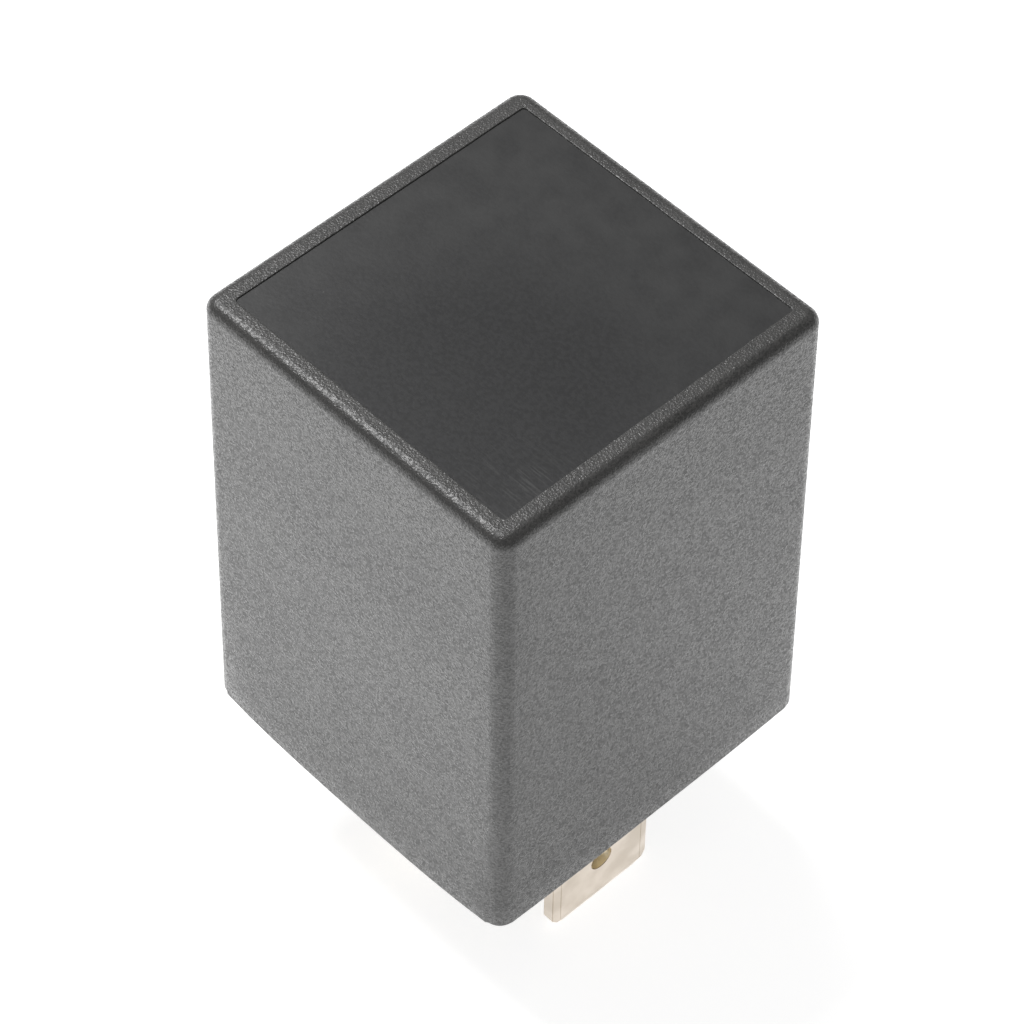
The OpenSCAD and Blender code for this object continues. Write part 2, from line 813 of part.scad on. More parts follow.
// Contact rivet: domed head from z = 0 up, shank through a sheet of thickness t below it
module contact(t) {
    r = contact_d / 2;
    dome_r = (r * r + contact_dome * contact_dome) / (2 * contact_dome);
    half = asin(r / dome_r);
    rotate_extrude()
        polygon(concat(
            [[0, -t - stub_h], [stub_r, -t - stub_h], [stub_r, -t], [shank_r, -t]],
            [[shank_r, 0], [r, 0]],
            arc([0, contact_t - dome_r], dome_r, 90 - half, 90, 5)
        ));
}

module moving_contact() {
    color(SILVER)
    opened()
        translate([0, contact_y, leaf_z - seat])
            mirror([0, 0, 1])
                contact(leaf_t + 2 * seat);
}

module fixed_contact() {
    color(SILVER)
    translate([0, contact_y, shelf_top + seat])
        contact(load_blade_t + 2 * seat);
}

// Rivet from z = 0 up through a grip, with a low head on top
module rivet(grip) {
    rotate_extrude()
        polygon([
            [0, fit], [rivet_d / 2, fit], [rivet_d / 2, grip + seat],
            [rivet_d * rivet_head_r, grip + seat],
            [rivet_d * rivet_head_r - edge, grip + rivet_head_h], [0, grip + rivet_head_h]
        ]);
}

module armature_rivets() {
    color(STEEL)
    opened()
        for (side = [-1, 1])
            translate([side * armature_rivet_x, armature_rivet_y, armature_z])
                rivet(armature_t + seat + leaf_t);
}

// Through the yoke's leg, terminal 30 and the leaf
module yoke_rivets() {
    color(STEEL)
    for (side = [-1, 1])
        translate([side * yoke_rivet_x, leg_in, yoke_rivet_z])
            rotate([-90, 0, 0])
                rivet(yoke_t + load_blade_t + seat + leaf_t);
}

// Bridge over the armature, its legs in the bobbin's upper flange
module armature_stop() {
    low = coil_top - flange_t;
    top = stop_z + stop_t / 2;
    color(BRONZE)
    translate([0, stop_y])
        sheet_y(
            rounded([[-stop_x, low], [-stop_x, top], [stop_x, top], [stop_x, low]], stop_t),
            stop_t, stop_w
        );
}

// Flexible link from terminal 30's lug, up and over the stop, to the leaf beside its contact
module braid() {
    half = braid_t / 2;
    out_y = load_y + load_blade_t / 2 + half + seat;
    over_z = stop_z + stop_t + braid_t;
    land_h = leaf_top + half + seat - pole_z;
    far = hinge_y - (contact_y + stub_r + braid_t / 3);
    near = far - 2 * braid_t;
    function on_leaf(s) = [
        0,
        hinge_y + land_h * sin(open_angle) - s * cos(open_angle),
        pole_z + land_h * cos(open_angle) + s * sin(open_angle)
    ];
    path = rounded([
        [lug_x, out_y, yoke_rivet_z],
        [lug_x, out_y, over_z],
        [braid_w / 4, stop_y - stop_w / 2, over_z],
        on_leaf(near),
        on_leaf(far)
    ], braid_t);
    color(COPPER)
    sweep(path, [1, 0, 0], braid_w / 2, half);
}

// Suppression resistor --------------------------------------------------------------

resistor_y = (coil_front - load_y + load_blade_t / 2) / 2;
resistor_z = post_top - 2 * resistor_lead_d - post_cut;

module resistor() {
    r = resistor_d / 2;
    half = resistor_len / 2;
    cap = resistor_len / 5;
    waist = r - edge;
    color(CERAMIC)
    translate([0, resistor_y, resistor_z])
        rotate([0, 90, 0])
            rotate_extrude()
                polygon([
                    [0, -half], [waist, -half], [r, edge - half], [r, cap - half],
                    [waist, cap + edge - half], [waist, half - cap - edge],
                    [r, half - cap], [r, half - edge], [waist, half], [0, half]
                ]);
}

// Lead from the resistor's end round to the outer face of a coil post
module resistor_lead(side) {
    weld_x = post_x + coil_blade_t / 2 + resistor_lead_d / 2 + seat;
    path = rounded([
        [side * (resistor_len / 2 + seat), resistor_y, resistor_z],
        [side * weld_x, resistor_y, resistor_z],
        [side * weld_x, post_w / 2 - resistor_lead_d, resistor_z]
    ], 2 * resistor_lead_d);
    color(TINNED)
    sweep(path, [0, 0, 1], resistor_lead_d / 2, resistor_lead_d / 2);
}

module resistor_lead_85() {
    resistor_lead(-1);
}

module resistor_lead_86() {
    resistor_lead(1);
}

cover();
base();
terminal_30();
terminal_87();
terminal_85();
terminal_86();
yoke();
core();
bobbin();
winding();
coil_lead_85();
coil_lead_86();
armature();
contact_spring();
moving_contact();
fixed_contact();
armature_rivets();
yoke_rivets();
armature_stop();
braid();
resistor();
resistor_lead_85();
resistor_lead_86();
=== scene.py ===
"""Looks of a plug-in automotive relay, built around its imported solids.

The can is a drafted moulding with a spark-eroded grain and a smooth, framed panel in its roof. Four
tinned blades stand below it. Inside are the magnet, its coil, the hinged armature and the contacts.
Sizes in the classes are millimetres. Meshes are in metres, in the frame's own axes: +Z runs through
the roof, the load blades stand along Y and the coil blades along X.
"""

import logging
import math
from dataclasses import dataclass
from enum import Enum
from typing import Any, Callable, Sequence

import bmesh
import bpy
from mathutils import Matrix, Vector, noise

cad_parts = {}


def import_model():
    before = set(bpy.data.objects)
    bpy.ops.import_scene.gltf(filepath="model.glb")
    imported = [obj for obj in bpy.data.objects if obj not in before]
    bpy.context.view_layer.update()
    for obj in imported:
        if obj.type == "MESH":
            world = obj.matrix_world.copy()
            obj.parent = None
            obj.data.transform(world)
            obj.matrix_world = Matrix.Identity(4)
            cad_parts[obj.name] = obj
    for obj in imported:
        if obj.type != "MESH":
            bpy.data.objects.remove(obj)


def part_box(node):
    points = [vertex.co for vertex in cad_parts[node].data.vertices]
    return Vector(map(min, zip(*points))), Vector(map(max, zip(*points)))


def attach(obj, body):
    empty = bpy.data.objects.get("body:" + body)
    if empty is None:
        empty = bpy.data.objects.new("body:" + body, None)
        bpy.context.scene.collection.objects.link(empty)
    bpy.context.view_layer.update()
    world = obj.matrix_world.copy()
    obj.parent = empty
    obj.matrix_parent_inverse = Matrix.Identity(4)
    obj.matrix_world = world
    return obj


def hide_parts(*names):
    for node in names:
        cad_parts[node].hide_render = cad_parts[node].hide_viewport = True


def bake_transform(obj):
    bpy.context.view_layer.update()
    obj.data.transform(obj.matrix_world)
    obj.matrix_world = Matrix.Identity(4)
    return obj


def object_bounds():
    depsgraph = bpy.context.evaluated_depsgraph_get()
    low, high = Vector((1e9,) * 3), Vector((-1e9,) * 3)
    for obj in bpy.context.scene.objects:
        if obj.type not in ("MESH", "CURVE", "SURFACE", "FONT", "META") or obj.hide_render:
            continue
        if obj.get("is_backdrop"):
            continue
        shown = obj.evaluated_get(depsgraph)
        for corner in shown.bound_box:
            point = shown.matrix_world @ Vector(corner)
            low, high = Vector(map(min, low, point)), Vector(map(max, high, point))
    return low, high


Node = bpy.types.Node
Piece = bpy.types.Object
Socket = bpy.types.NodeSocket
Range = tuple[float, float]
Triple = tuple[float, float, float]

LOG = logging.getLogger("relay")
MM = 0.001  # metres in a millimetre
WELD = 1e-6  # metres within which vertices count as one
SHARP = 40.0  # degrees past which an edge stays sharp
TINY = 1e-6  # the least share that a length is divided by
USUAL = (0.3, 0.7)  # most values of a noise lie between these
WHITE = (1.0, 1.0, 1.0, 1.0)


class Slot(Enum):
    """Names of the material slots."""

    CAN = "can_moulding"
    BASE = "base_moulding"
    TINNED = "tinned_brass"
    STEEL = "plated_steel"
    NYLON = "nylon"
    ENAMEL = "enamelled_copper"
    COPPER = "bare_copper"
    BRONZE = "spring_bronze"
    SILVER = "contact_silver"
    COATING = "resistor_coat"


class Body(Enum):
    """Bodies of the frame."""

    FRAME = "frame"
    ARMATURE = "armature"


# Nodes and materials ------------------------------------------------------------------


def linear(colour: str) -> tuple[float, float, float, float]:
    """Turns an sRGB hex colour into linear RGBA by the sRGB curve.

    Args:
        colour: six hex digits after a hash sign.

    Returns:
        Red, green, blue and an alpha of 1.
    """
    channels = [int(colour[i : i + 2], 16) / 255 for i in (1, 3, 5)]
    bright = [c / 12.92 if c <= 0.04045 else ((c + 0.055) / 1.055) ** 2.4 for c in channels]
    return (*bright, 1.0)


def emptied(owner: bpy.types.Material | bpy.types.World) -> bpy.types.NodeTree:
    """Gives a material or a world a node tree with nothing in it.

    Args:
        owner: the material or the world.

    Returns:
        Its tree.
    """
    owner.use_nodes = True
    owner.node_tree.nodes.clear()
    return owner.node_tree


class Graph:
    """A node tree, with short calls for the nodes that it often needs.

    Attributes:
        tree: the node tree.
    """

    def __init__(self, tree: bpy.types.NodeTree) -> None:
        """Takes up a tree."""
        self.tree = tree

    def add(self, kind: str, inputs: dict[Any, Any] | None = None, **settings: Any) -> Node:
        """Adds a node.

        Args:
            kind: the node's type name.
            inputs: for each input, by name or index, a constant, an output socket, or a list of these.
            settings: the node's own properties.

        Returns:
            The new node.
        """
        node = self.tree.nodes.new(kind)
        for name, value in settings.items():
            setattr(node, name, value)
        for key, value in (inputs or {}).items():
            for source in value if isinstance(value, list) else [value]:
                if isinstance(source, Socket):
                    self.tree.links.new(source, node.inputs[key])
                else:
                    node.inputs[key].default_value = source
        return node

    def node(
        self, kind: str, inputs: dict[Any, Any] | None = None, out: Any = 0, **settings: Any
    ) -> Socket:
        """Adds a node and returns one of its outputs, by name or index."""
        return self.add(kind, inputs, **settings).outputs[out]

    def math(self, operation: str, a: Any, b: Any = 0.0) -> Socket:
        """Works out one operation on two values."""
        return self.node("ShaderNodeMath", {0: a, 1: b}, operation=operation)

    def vector(self, operation: str, a: Any, b: Any = (0.0, 0.0, 0.0), out: Any = 0) -> Socket:
        """Works out one operation on two vectors. A number comes from its output "Value"."""
        return self.node("ShaderNodeVectorMath", {0: a, 1: b}, out, operation=operation)

    def spread(self, value: Socket, span: Any, to: Any = (0.0, 1.0), kind: str = "SMOOTHSTEP") -> Socket:
        """Maps a value's span onto another, with both ends held.

        Args:
            value: the value to map.
            span: the two values that reach the ends, each a constant or a socket.
            to: the two ends.
            kind: how the value goes from one end to the other.

        Returns:
            The mapped value.
        """
        ends = {"From Min": span[0], "From Max": span[1], "To Min": to[0], "To Max": to[1]}
        return self.node("ShaderNodeMapRange", {"Value": value, **ends}, interpolation_type=kind)


class Paint(Graph):
    """The node tree of one material, round its shader.

    Attributes:
        shader: the Principled shader.
        place: the piece's Object coordinates, in metres.
    """

    def __init__(self, material: bpy.types.Material, constants: dict[str, Any]) -> None:
        """Starts the tree.

        Args:
            material: the material that it belongs to.
            constants: what the shader's inputs are set to.
        """
        super().__init__(emptied(material))
        self.shader = self.add("ShaderNodeBsdfPrincipled", constants)
        self.add("ShaderNodeOutputMaterial", {"Surface": self.shader.outputs["BSDF"]})
        self.place = self.node("ShaderNodeTexCoord", out="Object")

    def give(self, name: str, value: Socket) -> None:
        """Links a value to one of the shader's inputs."""
        self.tree.links.new(value, self.shader.inputs[name])

    def stretched(self, x: float, y: float, z: float) -> Socket:
        """The place, scaled so that noise of 1 mm is this many millimetres long on each axis."""
        scale = (1 / x, 1 / y, 1 / z)
        return self.node("ShaderNodeMapping", {"Vector": self.place, "Scale": scale})

    def grain(self, size: float, detail: float, place: Socket | None = None) -> Socket:
        """Noise whose features are about a given size.

        Args:
            size: the width of its features, in millimetres.
            detail: octaves of finer noise.
            place: the coordinates that it reads, where they aren't the piece's own.

        Returns:
            Its value, from 0 to 1.
        """
        ruled = {"Vector": place or self.place, "Scale": 1 / (size * MM), "Detail": detail}
        return self.node("ShaderNodeTexNoise", ruled, "Fac")

    def clouds(
        self, size: float, detail: float = 3.0, span: Range = USUAL, to: Range = (0.0, 1.0)
    ) -> Socket:
        """Noise on the piece, stretched so that its usual values fill the range.

        Args:
            size: the width of its features, in millimetres.
            detail: octaves of finer noise.
            span: the values of the noise that reach the ends.
            to: the two ends.

        Returns:
            The stretched value.
        """
        return self.spread(self.grain(size, detail), span, to)

    def cells(self, size: float, out: str, detail: float = 0.0, normalize: bool = False) -> Socket:
        """Divides the piece into Voronoi cells.

        Args:
            size: the width of a cell, in millimetres.
            out: "Distance" from the cell's middle, or "Color", which each cell draws for itself.
            detail: octaves of finer cells.
            normalize: whether the distance is kept between 0 and 1.

        Returns:
            That output.
        """
        ruled = {"Vector": self.place, "Scale": 1 / (size * MM), "Detail": detail}
        return self.node("ShaderNodeTexVoronoi", ruled, out, normalize=normalize)

    def mix(self, factor: Socket, low: str | Socket, high: str | Socket) -> Socket:
        """Mixes two colours, each sRGB hex or a socket, by a factor."""
        a, b = (linear(colour) if isinstance(colour, str) else colour for colour in (low, high))
        # The node's colours are its inputs 6 and 7 and its output 2. The rest are for other types.
        return self.node("ShaderNodeMix", {0: factor, 6: a, 7: b}, 2, data_type="RGBA")

    def relief(self, height: Socket, depth: float) -> None:
        """Bumps the surface by a height pattern.

        Args:
            height: the pattern, from 0 to 1.
            depth: how far 1 stands above 0, in millimetres.
        """
        bump = self.node("ShaderNodeBump", {"Height": height, "Distance": depth * MM, "Strength": 1.0})
        self.give("Normal", bump)


@dataclass(frozen=True)
class Finish:
    """A surface finish that is made once, as a node material.

    Attributes:
        name: the material's name.
        colour: its main colour, as sRGB hex.
        tint: the colour that its pattern varies towards.
        roughness: the shader's mean roughness.
        metallic: 1 for bare metal.
    """

    name: str
    colour: str
    tint: str
    roughness: float
    metallic: float = 0.0

    def material(self) -> bpy.types.Material:
        """Makes the material, or finds the one that was made before.

        Returns:
            The material.
        """
        made = bpy.data.materials.get(self.name)
        if not made:
            made = bpy.data.materials.new(self.name)
            constants = {
                "Base Color": linear(self.colour),
                "Roughness": self.roughness,
                "Metallic": self.metallic,
            }
            self.pattern(Paint(made, constants))
        return made

    def pattern(self, paint: Paint) -> None:
        """Adds the finish's own colour, roughness and bump patterns.

        Args:
            paint: the material's tree.
        """
        raise NotImplementedError


@dataclass(frozen=True)
class ErodedMoulding(Finish):
    """Black PBT moulded in a spark-eroded cavity.

    Its craters turn the gloss into a matt grey haze that lightens towards grazing light and sparkles
    where a lamp is mirrored.

    Attributes:
        crater: the width of the craters, in millimetres, as is every size here.
        depth: their depth.
        pits: how many pits of their own tone and gloss lie along a crater.
        pit_span: the values between which a pit goes from plain to its full tone and gloss.
        pit_tone: the share of the main colour in a full pit.
        pit_gloss: how much rougher a plain pit is than the mean, and how much smoother a full one.
        cloud: the width of the slow changes of tone.
        cloud_tone: the share of the main colour that they add.
        ior: the index of refraction of PBT.
    """

    crater: float = 0.17
    depth: float = 0.05
    pits: float = 1.3
    pit_span: Range = (0.0, 0.9)
    pit_tone: float = 0.8
    pit_gloss: Range = (0.16, 0.13)
    cloud: float = 7.0
    cloud_tone: float = 0.2
    ior: float = 1.55

    def pattern(self, paint: Paint) -> None:
        """Craters as bump, pits that each have their tone and gloss, and slow clouds of tone.

        Args:
            paint: the material's tree.
        """
        paint.shader.inputs["IOR"].default_value = self.ior
        craters = paint.cells(self.crater, "Distance", 1.0, True)
        drawn = paint.cells(self.crater / self.pits, "Color")
        pit = paint.node("ShaderNodeSeparateColor", {"Color": drawn})
        clouds = paint.clouds(self.cloud, 2.0, to=(0.0, self.cloud_tone))
        share = paint.math("ADD", paint.spread(pit, self.pit_span, (0.0, self.pit_tone)), clouds)
        paint.give("Base Color", paint.mix(share, self.tint, self.colour))
        rougher, smoother = self.pit_gloss
        gloss = (self.roughness + rougher, self.roughness - smoother)
        paint.give("Roughness", paint.spread(pit, self.pit_span, gloss))
        paint.relief(craters, self.depth)


@dataclass(frozen=True)
class PolishedMoulding(Finish):
    """The same PBT against a polished insert: near black, with the soft gloss and haze of handling.

    The haze lies round a clear middle, fine tool marks run along Y in one corner, and a few pale
    specks of dust lie about.

    Attributes:
        texture: the width of its fine unevenness, in millimetres, as is every size here.
        relief: the height of the unevenness and the marks.
        haze: the colour of the haze.
        haze_gloss: how much rougher the full haze is.
        patch: the width of the haze's patches.
        patch_detail: octaves of finer noise in them.
        patch_span: the values of their noise that reach the ends.
        patch_share: the share of the haze between its patches and in them.
        clear: the middle of the clear area.
        hazy: how far from there the haze begins and is full.
        dust: the colour of the specks and the marks.
        fleck_spacing: the spacing of the specks.
        fleck: their radius.
        mark_spacing: the spacing of the tool marks.
        mark_length: their length.
        mark_span: the values of their noise at which a mark begins and is full.
        mark_share: the share of the dust's colour in a full mark.
        marked_corner: the corner that they fade away from.
        marked_reach: how far from it they reach.
    """

    texture: float = 0.3
    relief: float = 0.002
    haze: str = "#363636"
    haze_gloss: float = 0.06
    patch: float = 2.2
    patch_detail: float = 4.0
    patch_span: Range = (0.25, 0.75)
    patch_share: Range = (0.5, 1.0)
    clear: Range = (-8.0, -4.0)
    hazy: Range = (6.0, 19.0)
    dust: str = "#777775"
    fleck_spacing: float = 2.0
    fleck: float = 0.055
    mark_spacing: float = 0.11
    mark_length: float = 1.8
    mark_span: Range = (0.5, 0.8)
    mark_share: float = 0.24
    marked_corner: Range = (-10.5, -12.5)
    marked_reach: float = 6.5

    def pattern(self, paint: Paint) -> None:
        """Haze and texture in colour and roughness, specks, and marks that fade from one corner.

        Args:
            paint: the material's tree.
        """
        uneven = paint.clouds(self.texture)
        patches = paint.clouds(self.patch, self.patch_detail, self.patch_span, self.patch_share)
        ring = [reach * MM for reach in self.hazy]
        hazed = paint.math("MULTIPLY", patches, paint.spread(self.reach(paint, self.clear), ring))
        cell = paint.cells(self.fleck_spacing, "Distance")
        flecks = paint.spread(cell, (self.fleck / self.fleck_spacing, 0.0))
        narrow = paint.stretched(self.mark_spacing, self.mark_length, 1.0)
        marks = paint.spread(paint.grain(1.0, 1.0, narrow), self.mark_span, (0.0, self.mark_share))
        near = paint.spread(self.reach(paint, self.marked_corner), (self.marked_reach * MM, 0.0))
        marked = paint.math("MULTIPLY", marks, near)
        tone = paint.mix(uneven, self.colour, self.tint)
        tone = paint.mix(hazed, tone, self.haze)
        paint.give("Base Color", paint.mix(paint.math("MAXIMUM", marked, flecks), tone, self.dust))
        dulled = paint.math("MULTIPLY", hazed, self.haze_gloss)
        paint.give("Roughness", paint.math("ADD", dulled, self.roughness))
        paint.relief(paint.math("ADD", uneven, marked), self.relief)

    def reach(self, paint: Paint, middle: Range) -> Socket:
        """Works out how far a point lies from a vertical line.

        Args:
            paint: the material's tree.
            middle: where the line stands, in millimetres.

        Returns:
            The distance, in metres.
        """
        off = paint.vector("SUBTRACT", paint.place, (middle[0] * MM, middle[1] * MM, 0.0))
        level = paint.vector("MULTIPLY", off, (1.0, 1.0, 0.0))
        return paint.vector("LENGTH", level, out="Value")


@dataclass(frozen=True)
class SatinMoulding(Finish):
    """Glass-filled nylon from a lightly textured cavity: satin, with flow clouds.

    Attributes:
        cloud: the width of the clouds, in millimetres, as is every size here.
        texture: the width of the grain.
        relief: its height.
    """

    cloud: float = 5.0
    texture: float = 0.3
    relief: float = 0.008

    def pattern(self, paint: Paint) -> None:
        """Adds flow clouds in the colour over a fine even grain."""
        paint.give("Base Color", paint.mix(paint.clouds(self.cloud), self.colour, self.tint))
        paint.relief(paint.grain(self.texture, 2.0), self.relief)


@dataclass(frozen=True)
class DrawnMetal(Finish):
    """Plated or bare sheet and wire: satin, with drawing lines along Z and clouds of tarnish.

    Attributes:
        line_spacing: the spacing of the lines, in millimetres, as is every size here.
        line_length: their length.
        line_depth: their depth.
        cloud: the width of the clouds.
        cloud_span: the values of their noise that reach the ends.
        cloud_gloss: how far they take the roughness from its mean, both ways.
    """

    line_spacing: float = 0.12
    line_length: float = 6.0
    line_depth: float = 0.002
    cloud: float = 2.5
    cloud_span: Range = (0.3, 0.72)
    cloud_gloss: float = 0.06

    def pattern(self, paint: Paint) -> None:
        """Clouds in colour and roughness, and fine lines as bump.

        Args:
            paint: the material's tree.
        """
        clouds = paint.clouds(self.cloud, span=self.cloud_span)
        paint.give("Base Color", paint.mix(clouds, self.colour, self.tint))
        gloss = (self.roughness - self.cloud_gloss, self.roughness + self.cloud_gloss)
        paint.give("Roughness", paint.spread(clouds, (0.0, 1.0), gloss))
        drawn = paint.stretched(self.line_spacing, self.line_spacing, self.line_length)
        paint.relief(paint.grain(1.0, 2.0, drawn), self.line_depth)


@dataclass(frozen=True)
class Enamelled(Finish):
    """Copper wire under a clear baked enamel, so the metal glows through a glossy coat.

    Attributes:
        coat: the coat's weight.
        coat_roughness: its roughness.
        cloud: the width of the slow changes of colour, in millimetres.
    """

    coat: float = 0.6
    coat_roughness: float = 0.15
    cloud: float = 2.0

    def pattern(self, paint: Paint) -> None:
        """Slow colour changes where the enamel is thicker, under a clear coat.

        Args:
            paint: the material's tree.
        """
        paint.shader.inputs["Coat Weight"].default_value = self.coat
        paint.shader.inputs["Coat Roughness"].default_value = self.coat_roughness
        paint.give("Base Color", paint.mix(paint.clouds(self.cloud), self.colour, self.tint))


@dataclass(frozen=True)
class Banded(Finish):
    """Lacquered resistor body with four painted value bands round it.

    Attributes:
        bands: the middle of each band along X, in millimetres, as is every size here, and its paint.
        band_width: their width.
        cloud: the width of the lacquer's unevenness.
    """

    bands: tuple[tuple[float, str], ...] = (
        (-1.9, "#3a3a3a"),
        (-0.9, "#4a6fa5"),
        (0.1, "#6a4630"),
        (1.9, "#b89a4e"),
    )
    band_width: float = 0.5
    cloud: float = 1.0

    def pattern(self, paint: Paint) -> None:
        """Bands at their places along X, over a slightly uneven lacquer.

        Args:
            paint: the material's tree.
        """
        colour = paint.mix(paint.clouds(self.cloud, 2.0), self.colour, self.tint)
        along = paint.node("ShaderNodeSeparateXYZ", {"Vector": paint.place}, "X")
        for centre, band in self.bands:
            off = paint.math("ABSOLUTE", paint.math("SUBTRACT", along, centre * MM))
            inside = paint.math("LESS_THAN", off, self.band_width / 2 * MM)
            colour = paint.mix(inside, colour, band)
        paint.give("Base Color", colour)


GRAINED = ErodedMoulding("pbt_spark_eroded", "#504f4e", "#2a2a29", 0.36)
POLISHED = PolishedMoulding("pbt_polished_panel", "#222223", "#2d2d2e", 0.3)
BASE_NYLON = SatinMoulding("nylon_glass_filled_base", "#333332", "#3d3d3b", 0.5)
TINNED = DrawnMetal("brass_tin_plated", "#c5bbaf", "#bcb2a5", 0.4, 1.0)
# Darker tin for the blades' rounded edges: painted shade along the grooves of their bevels, on tin that is
# rougher there.
EDGE_SHADED_TIN = DrawnMetal("brass_tin_painted_edge_shade", "#b3a797", "#a39785", 0.5, 1.0)
# Bare brass in the detent holes, made far paler than brass: painted light that stands in for the light
# reaching inside the hole.
HOLE_BRASS_PAINTED_LIGHT = DrawnMetal("brass_cut_edge_painted_light", "#fdf2da", "#f0e2c2", 0.5, 1.0)
ZINCED = DrawnMetal("steel_zinc_plated", "#c3c6c9", "#a4a8ac", 0.36, 1.0)
NATURAL_NYLON = SatinMoulding("nylon_natural_bobbin", "#e6dfcb", "#d8cfb6", 0.45)
ENAMEL = Enamelled("copper_enamelled_wire", "#b5622f", "#8f4a22", 0.3, 1.0)
BARE_COPPER = DrawnMetal("copper_bare_braid", "#c98055", "#a35f3a", 0.34, 1.0)
BRONZE = DrawnMetal("bronze_spring_rolled", "#cfa466", "#b78b4e", 0.3, 1.0)
SILVER = DrawnMetal("silver_contact_coined", "#dedcd6", "#c4c1b9", 0.28, 1.0)
LACQUER = Banded("resistor_lacquered", "#cdb68b", "#bfa677", 0.35)



# Meshes ------------------------------------------------------------------------------------


def linked(name: str, data: Any) -> Piece:
    """Makes an object at the origin and links it to the scene.

    Args:
        name: its name.
        data: its mesh, lamp or camera.

    Returns:
        The object.
    """
    made = bpy.data.objects.new(name, data)
    bpy.context.scene.collection.objects.link(made)
    return made


def smoothed(mesh: bpy.types.Mesh, sharp: float) -> None:
    """Shades a mesh smooth but for edges that turn by more than some degrees."""
    mesh.shade_smooth()
    mesh.set_sharp_from_angle(angle=math.radians(sharp))


def mesh_object(
    name: str, build: bmesh.types.BMesh, finishes: Sequence[Finish], sharp: float = SHARP
) -> Piece:
    """Turns a bmesh into a smooth-shaded object at the origin.

    Args:
        name: the object's name.
        build: the mesh so far, which is freed.
        finishes: one for each material index in use.
        sharp: edges that turn by more degrees than this stay sharp.

    Returns:
        The new object, linked to the scene.
    """
    bmesh.ops.remove_doubles(build, verts=build.verts, dist=WELD)
    bmesh.ops.recalc_face_normals(build, faces=build.faces)
    mesh = bpy.data.meshes.new(name)
    build.to_mesh(mesh)
    build.free()
    for finish in finishes:
        mesh.materials.append(finish.material())
    smoothed(mesh, sharp)
    return linked(name, mesh)


def solid_copy(node: str) -> bmesh.types.BMesh:
    """Copies a solid of the frame, with its loose triangles joined.

    Args:
        node: its name.

    Returns:
        The copy.
    """
    build = bmesh.new()
    build.from_mesh(bpy.data.objects[node].data)
    bmesh.ops.remove_doubles(build, verts=build.verts, dist=WELD)
    return build


def frozen(source: Piece, name: str) -> Piece:
    """Replaces an object and its modifiers by the plain mesh that they make.

    Args:
        source: the object, which is deleted.
        name: the new object's name.

    Returns:
        An object at the origin that holds the evaluated mesh.
    """
    depsgraph = bpy.context.evaluated_depsgraph_get()
    mesh = bpy.data.meshes.new_from_object(source.evaluated_get(depsgraph), depsgraph=depsgraph)
    bpy.data.objects.remove(source)
    mesh.name = name
    return linked(name, mesh)


def place_piece(piece: Piece, node: str, body: Body = Body.FRAME) -> None:
    """Lets a piece stand for a node of the frame and ride on its body.

    Args:
        piece: the piece.
        node: the node's name.
        body: the body that it rides on.
    """
    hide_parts(node)
    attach(piece, body.value)
    LOG.info("%s stands for %s: %d faces", piece.name, node, len(piece.data.polygons))


def bend_piece(piece: Piece, node: str) -> None:
    """Lets a flexible piece stand for a node, with its transform baked into its mesh.

    Args:
        piece: the piece.
        node: the node's name.
    """
    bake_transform(piece)
    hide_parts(node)
    LOG.info("%s bends across the hinge: %d faces", piece.name, len(piece.data.polygons))


